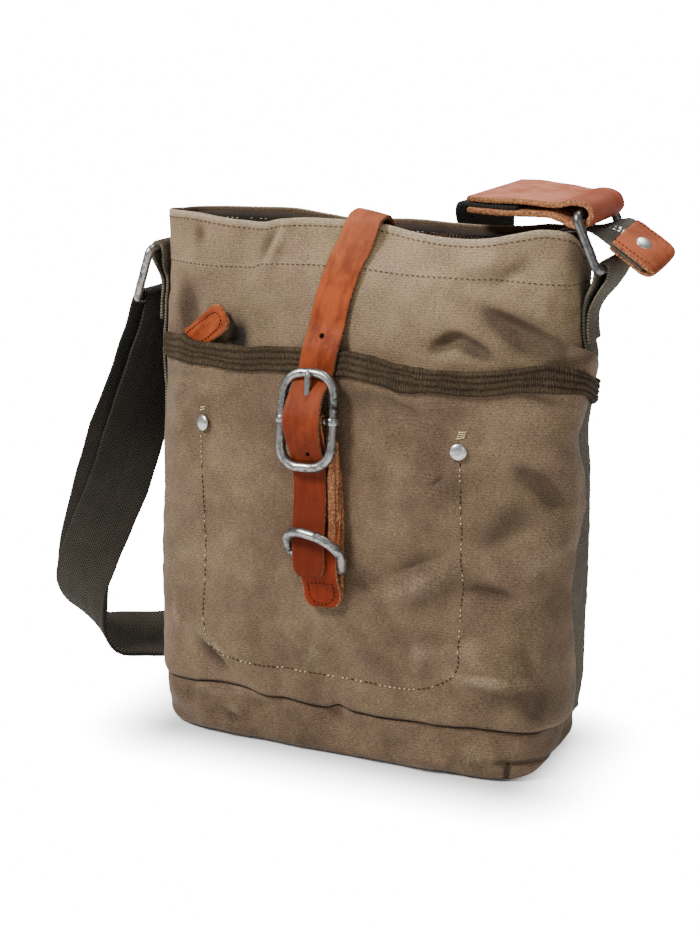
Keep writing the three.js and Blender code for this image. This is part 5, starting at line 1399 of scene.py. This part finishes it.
def sideWebbing(name, sign, middle, bar, barAcross, leg, legDown, endZs):
    dus = np.linspace(-webSizes["share"] / 2, webSizes["share"] / 2, 19)
    flatAcross = dus * webSizes["side"] / webSizes["share"]
    rows, faces = [], []

    def onBody(us, z, lift, turnedOver):
        rows.append(skinOffset(us, z, np.full(dus.shape, lift)))
        faces.append(skinNormal(us, z) * (-1 if turnedOver else 1))

    first = 0.5 + webSizes["thick"] / 2
    for v in np.linspace(0, webSizes["rows"], 80):
        us = middle(wallHeight(np.array([sign * 0.25]), v)) + dus
        onBody(us, wallHeight(us, v), first, False)

    def flatRow(centre, normal, share):
        across = unit(sideward * (1 - share) + barAcross * share)
        rows.append(centre + across * (sign * flatAcross)[:, None])
        faces.append(np.broadcast_to(unit(np.asarray(normal, float)), (len(dus), 3)))

    for x, y, z, nx, nz, share in leg:
        flatRow(np.array([x, y, z]), (nx, 0, nz), share)
    for angle in np.linspace(math.pi, 0, 13):
        normal = np.array([sign * math.cos(angle), 0, math.sin(angle)])
        flatRow(bar + normal * webSizes["turn"], -normal, 1)
    for x, y, z, nx, nz, share in legDown:
        flatRow(np.array([x, y, z]), (nx, 0, nz), share)
    for z in endZs:
        onBody(middle(z) + dus, np.full(dus.shape, float(z)), first + webSizes["thick"] + 0.4, True)
    rows, faces = np.stack(rows), np.stack(faces)
    run = runLength(rows[:, len(dus) // 2])
    places = np.linspace(0, run[-1], int(run[-1] / 2.2))
    grid = np.stack([sampled(places, run, rows[:, k]) for k in range(len(dus))], 1)
    face = np.stack([unit(sampled(places, run, faces[:, k])) for k in range(len(dus))], 1)
    for k in range(3):
        grid[1:-1] = grid[1:-1] * 0.5 + (grid[:-2] + grid[2:]) * 0.25
    half = webSizes["thick"] / 2 * np.array([0.55, 0.9] + [1] * (len(dus) - 4) + [0.9, 0.55])
    frayed = 0.3 * ripple(grid, 71, 3)
    upper = grid + face * (half + 0.1 + frayed * 0.5)[..., None]
    lower = grid - face * half[None, :, None]
    both = np.concatenate([flatAcross, flatAcross[::-1]])
    return skinned(name, faced(lower, upper), [sideTape], flat=(places, np.append(both, both[0])))


def leftMiddle(z):
    return -0.25


def rightMiddle(z):
    return 0.2643 - 0.0123 * (1 - smooth(130, 225, z))


settle(sideWebbing("side_tape_left", -1, leftMiddle, leftTop, sideward, [(-124.6, 0, 264, -1, 0, 1)],
                   [(-132.2, 0, 273, 1, 0.15, 1)], [262, 257, 253, 249, 245, 241, 238]),
       "side_webbing", "side_webbing_left")
settle(sideWebbing("side_tape_right", 1, rightMiddle, rightLow, rightBar,
                   [(129.8, 6, 268, 1, -0.5, 0.5), (134.4, 3, 275, 1, -0.6, 0.9)],
                   [(143, 2, 278.6, -1, 0.5, 1), (138.6, 4, 272.6, -1, 0.8, 0.8),
                    (133.6, 6.6, 266, -1, 0.4, 0.4)],
                   [257, 253, 249, 245, 241]), "side_webbing", "side_webbing_right")

# leather end on the right ring: distance along, height, share of the tilt
endRun = [(76, 3.7, 1), (56, 4.8, 1), (36, 5.3, 0.7), (26, 5.2, 0.5), (12, 4.5, 0.2), (3, 6, 0),
          (-5, 4.2, 0), (-7.4, -0.6, 0), (-4.4, -5, 0), (2, -6.1, 0), (9, -3.2, 0.2), (16, -0.9, 0.4),
          (24, -0.9, 0.5), (36, -1.4, 0.7), (56, -1.6, 1), (76, -2.7, 1)]


def endPoint(along, up):
    back = 0.14 * along + 0.0034 * along * abs(along)
    return rightTop + np.array([-0.97 * along + 0.0012 * along * along, back, up])


def endAcross(along, tilt):
    heading = endPoint(along + 1, 0) - endPoint(along - 1, 0)
    return unit([heading[1], -heading[0], tilt * np.linalg.norm(heading)])


def strapEnd():
    centres = [endPoint(a, up) for a, up, share in endRun]
    across = [endAcross(max(a, 0), 0.09 + 0.12 * share) for a, up, share in endRun]
    stations = stationsThrough(centres, across, 1.4, 1.2)
    half = leatherSizes["end"] / 2 + 0.35 * ripple(stations["centre"], 66, 30)
    return strapPiece("strap_end_leather", stations, half, leatherSizes["endThick"],
                      [paleRaw, paleRaw, pinkLeather],
                      rough=0.34, seed=45, endRound=1.2, steps=20)


settle(strapEnd(), "leather", "strap_end")

# shoulder strap: centre, direction across, distance of the outer layer and its shift sideways
shoulderRun = [
    (-134.2, 0, 249.5, 0, 1, 0, 8.6, 0), (-137, 0, 229, 0.2, 0.98, 0, 10.5, 0),
    (-146.5, 0, 193, 0.6, 0.8, 0, 9, 4), (-159, 1, 157, 0.86, 0.5, 0, 5.5, 9),
    (-171, 4, 129, 0.89, 0.42, 0, 3.6, 9), (-184.5, 7, 104, 0.92, 0.36, -0.08, 3, 6),
    (-199, 11, 77, 0.94, 0.24, -0.18, 2.9, 3), (-210.5, 17, 52, 0.94, 0.06, -0.28, 2.9, 0),
    (-212, 27, 31, 0.88, -0.22, -0.4, 2.9, 0), (-203, 41, 14.5, 0.7, -0.5, -0.45, 2.9, 0),
    (-186, 55, 11, 0.48, -0.74, -0.46, 2.9, 0), (-158, 68, 11.4, 0.36, -0.8, -0.48, 2.7, 0),
    (-120, 79, 10.5, 0.25, -0.88, -0.4, 2.3, 0), (-65, 82, 5, 0.1, -0.99, -0.12, 0, 0),
    (-15, 80, 5.2, -0.05, -1, -0.06, 0, 0), (19, 77, 17, -0.15, -0.98, 0, 0, 0),
    (38, 75, 50, -0.3, -0.95, 0, 0, 0), (45, 71, 105, -0.45, -0.89, 0, 0, 0),
    (48, 67, 170, -0.55, -0.83, 0, 0, 0), (49.5, 60, 230, -0.6, -0.8, 0, 0, 0),
    (50, 53, 278, -0.62, -0.78, -0.05, 0, 0),
]
backRun = [(85, -0.6), (77, 0.5), (66, 0.8), (50, 1.6), (36, 1.9)]


def shoulderStrap():
    rows = np.array(shoulderRun, float)
    main, wide = rows[:, :3], unit(rows[:, 3:6])
    way = centripetal(main, np.arange(len(main), dtype=float))[1]
    level = squareTo(way, wide)
    doubled = [k for k in range(len(rows)) if rows[k, 6] > 0][::-1]
    tail = [main[k] + np.cross(level[k], way[k]) * rows[k, 6] - level[k] * rows[k, 7] for k in doubled]
    bend = webSizes["strapTurn"]
    turn = [leftLow + np.array([math.cos(a), 0, math.sin(a)]) * bend for a in np.radians([135, 90, 45])]
    back = [np.array([50.5, 47.5, 302])] + [endPoint(a, up) for a, up in backRun]
    backWide = [-unit([0.62, 0.77, 0.12])] + [-endAcross(a, 0.21) for a, up in backRun]
    centres = tail + turn + list(main) + back
    across = [wide[k] for k in doubled] + [sideward] * 3 + list(wide) + backWide
    stations = stationsThrough(centres, across, 1.9, 0.9)
    half = webSizes["wide"] / 2 + 0.25 * ripple(stations["centre"], 81, 30)
    return strapPiece("shoulder_webbing", stations, half, webSizes["thick"], [strapTape], rough=0.05,
                      seed=57, steps=20, endRound=0.9)


settle(shoulderStrap(), "strap_webbing", "shoulder_strap")

# zip: x, distance from the wall or from the middle, height, rise and inward lean
zipRun = [(-96, 5, 0, 284, 0.99, 0.15), (-78, 5, 0, 284, 0.99, 0.15), (-60, 5, 0, 284, 0.99, 0.15),
          (-40, 5, 0, 284, 0.99, 0.15), (-20, 5, 0, 284, 0.99, 0.15), (20, 5, 0, 284, 0.99, 0.15),
          (40, 5.2, 0, 284, 0.99, 0.15), (60, 7.6, 0, 284.5, 0.98, 0.2), (80, 8.4, 0, 286, 0.95, 0.3),
          (98, 0, 12.5, 291, 0.7, 0.7), (111, 0, 7.5, 299, 0.1, 1), (121, 0, 7.5, 301.5, 0, 1),
          (130, 0, 7.5, 302.5, 0, 1)]
zipSizes = {"half": 7.0, "thick": 1.0, "end": 0.4, "aside": 7.5, "teeth": 6.8, "pitch": 2.4, "reach": 2.8}
tabSizes = {"wide": 27.5, "thick": 2.2, "corner": 6, "narrow": 4, "dome": (11, 3.3, 0)}
tabStart = np.array([146.0, 0, 299.5])
tabAlong = unit([0.83, 0, -0.56])
tabAcross = np.array([0.2, 0.9, 0.36])
tabAcross = unit(tabAcross - tabAlong * (tabAcross @ tabAlong))
tabUp = np.cross(tabAlong, tabAcross)


def onTab(along, up, across):
    return tabStart + tabAlong * along + tabUp * up + tabAcross * across


zipEdges = []


def zipSide(name, sign):
    side = "front" if sign < 0 else "back"
    centres, across = [], []
    for x, wall, out, z, rise, inward in zipRun:
        y = panelY(side, x, z) - sign * wall if wall else sign * out
        centres.append(np.array([x, float(y), z]))
        across.append(unit([0, -sign * inward, rise]))
    for along in (-4, 6, 20):
        centres.append(onTab(along, 0, sign * zipSizes["aside"]))
        across.append(tabAcross * -sign)
    stations = stationsThrough(centres, across, 1.6, zipSizes["end"])
    zipEdges.append(stations)
    return strapPiece(name, stations, zipSizes["half"], zipSizes["thick"], [zipTape],
                      endRound=zipSizes["end"], steps=8, seed=90 + sign)


settle(zipSide("zip_cloth_front", -1), "zip_tape", "zip_tape_front")
settle(zipSide("zip_cloth_back", 1), "zip_tape", "zip_tape_back")

tabRun = mirrored([(-1, 2), (11, 2.2), (21.5, 2.1), (24.6, 1.3)], [(25.6, 0)])


def zipTab():
    stations = stationsThrough([onTab(a, up, 0) for a, up in tabRun], [tabAcross] * len(tabRun), 0.9)
    fold = np.clip(1 - np.abs(stations["run"] - stations["total"] / 2) / tabSizes["corner"], 0, 1)
    half = tabSizes["wide"] / 2 + 0.3 * ripple(stations["centre"], 98, 14)
    half = half - tabSizes["narrow"] * (1 - np.sqrt(1 - fold**2))
    return strapPiece("zip_leather", stations, half, tabSizes["thick"], [paleRaw, paleRaw, tanLeather],
                      rough=0.18, seed=97, belly=-0.5)


settle(zipTab(), "leather", "zip_end_tab")
zipDome = [(r * 0.84, h * 0.6) for r, h in domeProfile]
settle(turned("dome_zip", onTab(*tabSizes["dome"]), tabUp, zipDome, domeSilver), "metal", "zip_end_rivet")


# stitches and zip teeth follow paths through node trees
def newTree(name, inputs):
    tree = bpy.data.node_groups.new(name, "GeometryNodeTree")
    tree.interface.new_socket("Geometry", in_out="INPUT", socket_type="NodeSocketGeometry")
    for label, kind, value in inputs:
        made = tree.interface.new_socket(label, in_out="INPUT", socket_type=kind)
        if value is not None:
            made.default_value = value
    tree.interface.new_socket("Geometry", in_out="OUTPUT", socket_type="NodeSocketGeometry")
    return tree, tree.nodes.new("NodeGroupInput"), tree.nodes.new("NodeGroupOutput")


def treeNode(tree, kind, settings=None, **links):
    made = tree.nodes.new(kind)
    for key, value in (settings or {}).items():
        setattr(made, key, value)
    for key, value in links.items():
        slot = made.inputs[key.replace("_", " ")]
        if isinstance(value, bpy.types.NodeSocket):
            tree.links.new(value, slot)
        else:
            slot.default_value = value
    return made


def followTree(name, inputs, spacing, form, formSizes, sizes):
    sockets = [(key, "NodeSocketFloat", value) for key, value in inputs.items()]
    sockets += [("Kept", "NodeSocketFloat", 1.0), ("Seed", "NodeSocketInt", 1),
                ("Finish", "NodeSocketMaterial", None)]
    tree, given, result = newTree(name, sockets)
    use = given.outputs
    curve = treeNode(tree, "GeometryNodeMeshToCurve", Mesh=use["Geometry"])
    even = treeNode(tree, "GeometryNodeResampleCurve", {"mode": "LENGTH"}, Curve=curve.outputs[0],
                    Length=use[spacing])
    block = treeNode(tree, form, **formSizes)
    tangent = treeNode(tree, "GeometryNodeInputTangent")
    facing = treeNode(tree, "GeometryNodeInputNamedAttribute", {"data_type": "FLOAT_VECTOR"}, Name="facing")
    turn = treeNode(tree, "FunctionNodeAxesToRotation", {"primary_axis": "X", "secondary_axis": "Z"},
                    Primary_Axis=tangent.outputs[0], Secondary_Axis=facing.outputs[0])
    kept = treeNode(tree, "FunctionNodeRandomValue", {"data_type": "BOOLEAN"}, Probability=use["Kept"],
                    Seed=use["Seed"])
    half = treeNode(tree, "ShaderNodeMath", {"operation": "MULTIPLY"})
    tree.links.new(use[sizes[0]], half.inputs[0])
    half.inputs[1].default_value = 0.5
    size = treeNode(tree, "ShaderNodeCombineXYZ", X=half.outputs[0], Y=use[sizes[1]], Z=use[sizes[2]])
    placed = treeNode(tree, "GeometryNodeInstanceOnPoints", Points=even.outputs[0], Instance=block.outputs[0],
                      Scale=size.outputs[0], Rotation=turn.outputs[0], Selection=kept.outputs[3])
    real = treeNode(tree, "GeometryNodeRealizeInstances", Geometry=placed.outputs[0])
    last = treeNode(tree, "GeometryNodeSetMaterial", Geometry=real.outputs[0], Material=use["Finish"])
    if form == "GeometryNodeMeshUVSphere":
        last = treeNode(tree, "GeometryNodeSetShadeSmooth", Geometry=last.outputs[0])
    tree.links.new(last.outputs[0], result.inputs[0])
    return tree


stitchRow = followTree("stitchRow", {"Spacing": 3 * mm, "Length": 2 * mm, "Thread": 0.4 * mm}, "Spacing",
                       "GeometryNodeMeshUVSphere", {"Segments": 8, "Rings": 5, "Radius": 1.0},
                       ("Length", "Thread", "Thread"))
zipTeeth = followTree("zipTeeth", {"Pitch": 2.5 * mm, "Reach": 2.8 * mm, "Height": 1.9 * mm}, "Pitch",
                      "GeometryNodeMeshCube", {"Size": (1, 1, 1)}, ("Pitch", "Reach", "Height"))


def followed(name, paths, tree, values):
    # paths: points and facings, in millimetres
    spots, faces, edges = [], [], []
    for points, facing in paths:
        start = sum(len(s) for s in spots)
        spots.append(np.asarray(points, float))
        faces.append(np.broadcast_to(facing, spots[-1].shape))
        edges += [(start + k, start + k + 1) for k in range(len(points) - 1)]
    mesh = bpy.data.meshes.new(name)
    mesh.from_pydata((np.concatenate(spots) * mm).tolist(), edges, [])
    field = mesh.attributes.new("facing", "FLOAT_VECTOR", "POINT")
    field.data.foreach_set("vector", np.concatenate(faces).astype(np.float32).reshape(-1))
    path = bpy.data.objects.new(name + "Path", mesh)
    bpy.context.collection.objects.link(path)
    change = path.modifiers.new("follow", "NODES")
    change.node_group = tree
    names = {s.name: s.identifier for s in tree.interface.items_tree if s.in_out == "INPUT"}
    for key, value in values.items():
        change[names[key]] = value
    ready = bpy.data.meshes.new_from_object(path.evaluated_get(bpy.context.evaluated_depsgraph_get()))
    path.modifiers.clear()
    bpy.data.objects.remove(path)
    ready.name = name
    piece = bpy.data.objects.new(name, ready)
    bpy.context.collection.objects.link(piece)
    return piece


# stitches: spacing, length, thread radius, share kept and seed
stitchSizes = {"hem_stitches": (3.1, 2.1, 0.34, 1.0, 1), "pocket_stitches": (2.9, 2.2, 0.42, 0.95, 4),
               "pocket_worn_stitches": (2.9, 1.6, 0.4, 0.36, 11), "tack_stitches": (1.2, 2.0, 0.42, 1.0, 1),
               "binding_stitches": (2.1, 2.0, 0.3, 1.0, 1), "facing_stitches": (3.0, 1.5, 0.24, 0.7, 6),
               "leather_stitches": (2.4, 1.8, 0.38, 1.0, 1)}


def stitchPiece(name, paths, thread, slot):
    spacing, length, radius, kept, seed = stitchSizes[name]
    values = {"Spacing": spacing * mm, "Length": length * mm, "Thread": radius * mm, "Kept": kept,
              "Seed": seed, "Finish": thread}
    return settle(followed(name, paths, stitchRow, values), slot)


def bodyLine(us, heights, lift):
    return skinOffset(us, heights, np.broadcast_to(lift, us.shape)), skinNormal(us, heights)


def pocketLine(corners, lift=0.1):
    corners = np.array(corners, float)
    times = np.linspace(0, len(corners) - 1, 40 * len(corners))
    spot = centripetal(np.c_[corners[:, 0], corners[:, 1] * 0, corners[:, 1]], times)[0]
    return onPocket(spot[:, 0], spot[:, 2], lift)


ringUs = np.linspace(-0.5, 0.5, 900)
hemHeights = hemHeight(ringUs)
rimHeights = rimTop(ringUs) - 4.2
stitchPiece("hem_stitches", [bodyLine(ringUs, rimHeights, 0.42), bodyLine(ringUs, hemHeights + 0.6, 0.36)],
            hemThread, "canvas")

uStitch = [(-83.3, 178), (-81, 118), (-81.5, 70.6), (-77, 59), (-66, 51.5), (-50, 49.3), (-18, 49.6),
           (19, 49.5), (50, 49.5), (66, 55), (75.5, 63), (76.6, 82), (75.8, 126), (73.3, 177)]
stitchPiece("pocket_stitches", [pocketLine(uStitch)], brownThread, "canvas")
stitchPiece("pocket_worn_stitches", [pocketLine(uStitch, 0.25)], creamThread, "canvas")
tackLines = []
for x, z, wide, count in ((-82.6, 192.5, 0.8, 2), (72.6, 191.3, 1.2, 4)):
    for k in range(count):
        shares = np.linspace(-wide, wide, 5)
        tackLines.append(onPocket(x + 0.3 * k + shares, z + k * 1.25 + 0.2 * shares, 0.3))
stitchPiece("tack_stitches", tackLines, creamThread, "canvas")

bandUs = np.linspace(-bagSizes["pocketEdge"], bandSizes["end"] - 0.004, 700)
bandTop = wallHeight(bandUs, bagSizes["pocketShare"])
bandLift = pocketStandoff(bandUs, bandTop) + bagSizes["pocket"] + bandSizes["leg"] + bandSlack(bandUs) + 0.22
bandLines = [bodyLine(bandUs, bandTop + dz, bandLift) for dz in (-0.96, -4.5, -8, -10.8)]
stitchPiece("binding_stitches", bandLines, brownThread, "binding")

facingUs = np.linspace(0.27, 0.73, 300)
facingSeam = bodyLine(facingUs, rimTop(facingUs) - facingSizes["seamDrop"], facingSizes["thread"])
stitchPiece("facing_stitches", [(facingSeam[0], -facingSeam[1])], whiteThread, "facing")


# outlines sewn in the leather
def leatherLine(centres, acrosses, run, lift):
    # run: share along the strap and distance across
    times = np.array([r[0] for r in run], float) * (len(centres) - 1)
    spot, way = centripetal(centres, times)
    across = squareTo(way, sampled(times, np.arange(len(acrosses)), np.array(acrosses)))
    normal = np.cross(across, way)
    return spot + across * np.array([r[1] for r in run])[:, None] + normal * lift, normal


pullCentres = runPoints(pullRows)
pullRun = mirrored([(0.05, 5), (0.3, 5.1), (0.6, 5.1), (0.8, 4.8), (0.9, 3.2)], [(0.93, 0)])
overCentres = runPoints(anchorOver)
overRun = mirrored([(0.70, 7.6), (0.8, 8), (0.88, 7.6), (0.94, 5.6), (0.97, 2)], [])
overRun += [(0.69, 0), (0.70, 7.6)]
tabTop = [onTab(a, up, 0) for a, up in tabRun[:3]]
tabLine = mirrored([(0.02, 11.2), (0.5, 11.3), (0.9, 11), (0.97, 9)], [(0.98, 0)])
stitchPiece("leather_stitches", [
    leatherLine(pullCentres, pullAcross, pullRun, pullSizes["thread"]),
    leatherLine(overCentres, [np.array([1.0, 0, 0])] * len(overCentres), overRun, -1.25),
    leatherLine(tabTop, [tabAcross] * 3, tabLine, -1.2)], rustThread, "leather")

teethPaths = []
keep = slice(4, -14)
for stations in zipEdges:
    normal = np.cross(stations["across"], stations["along"])
    teethPaths.append((stations["centre"][keep] + stations["across"][keep] * zipSizes["teeth"], normal[keep]))
teethSizes = {"Pitch": zipSizes["pitch"] * mm, "Reach": zipSizes["reach"] * mm, "Finish": oldSilver}
settle(followed("zip_teeth", teethPaths, zipTeeth, teethSizes), "metal")
print("stitches and teeth made")

# floor and light
stageSizes = {"floor": 12.0, "white": 18.0, "veil": 0.91, "room": 0.27, "shade": 0.06, "footX": 0.1,
              "footY": 0.035}
floorFinish = Finish("paleFloor")
floorFinish.surface(Base_Color=tint(250, 250, 250), Roughness=0.9)
glow = floorFinish.node("ShaderNodeEmission", None, {"Strength": stageSizes["white"]})
floorX, floorY = floorFinish.parts(floorFinish.place())[:2]
offX = (floorX.maths("ABSOLUTE") - stageSizes["footX"]).maths("MAXIMUM", 0.0)
offY = ((floorY + 0.01).maths("ABSOLUTE") - stageSizes["footY"]).maths("MAXIMUM", 0.0)
away = ((offX * offX + offY * offY).maths("SQRT") / stageSizes["shade"]).clamped()
seen = floorFinish.node("ShaderNodeLightPath", out="Is Camera Ray") * stageSizes["veil"] * (away * away)
matt = Sock(floorFinish.tree, floorFinish.shader.outputs[0])
veiled = floorFinish.node("ShaderNodeMixShader", None, {0: seen, 1: matt, 2: glow})
plug(floorFinish.tree, floorFinish.tree.nodes["Material Output"].inputs[0], veiled)
floorMesh = bpy.data.meshes.new("floor")
reach = stageSizes["floor"]
corners = [(x * reach, y * reach, 0) for x, y in ((-1, -1), (1, -1), (1, 1), (-1, 1))]
floorMesh.from_pydata(corners, [], [(0, 1, 2, 3)])
floorMesh.materials.append(floorFinish.material)
floor = bpy.data.objects.new("floor", floorMesh)
bpy.context.collection.objects.link(floor)


def softLight(name, place, target, size, power):
    data = bpy.data.lights.new(name, "AREA")
    data.shape = "DISK"
    data.size = size
    data.energy = power
    lamp = bpy.data.objects.new(name, data)
    lamp.location = place
    lamp.rotation_euler = (Vector(target) - Vector(place)).to_track_quat("-Z", "Y").to_euler()
    bpy.context.collection.objects.link(lamp)


# lights: name, place, target and size in metres, power in watts
for row in (("keyLight", (-1.0, -1.3, 1.9), (0, 0, 0.2), 0.7, 74),
            ("fillLight", (2.4, -2.2, 1.4), (0, 0, 0.15), 1.6, 10),
            ("topLight", (0.3, 0.7, 2.2), (0, 0, 0.2), 1.2, 26)):
    softLight(*row)
world = bpy.data.worlds.new("paleRoom")
bpy.context.scene.world = world
world.use_nodes = True
room = world.node_tree
dim, wall = room.nodes["Background"], room.nodes.new("ShaderNodeBackground")
for shader, strength in ((dim, stageSizes["room"]), (wall, stageSizes["white"])):
    shader.inputs[0].default_value = (1, 1, 1, 1)
    shader.inputs[1].default_value = strength
pick, path = room.nodes.new("ShaderNodeMixShader"), room.nodes.new("ShaderNodeLightPath")
for out, slot in ((path.outputs["Is Camera Ray"], 0), (dim.outputs[0], 1), (wall.outputs[0], 2)):
    room.links.new(out, pick.inputs[slot])
room.links.new(pick.outputs[0], room.nodes["World Output"].inputs[0])
print("stage set")
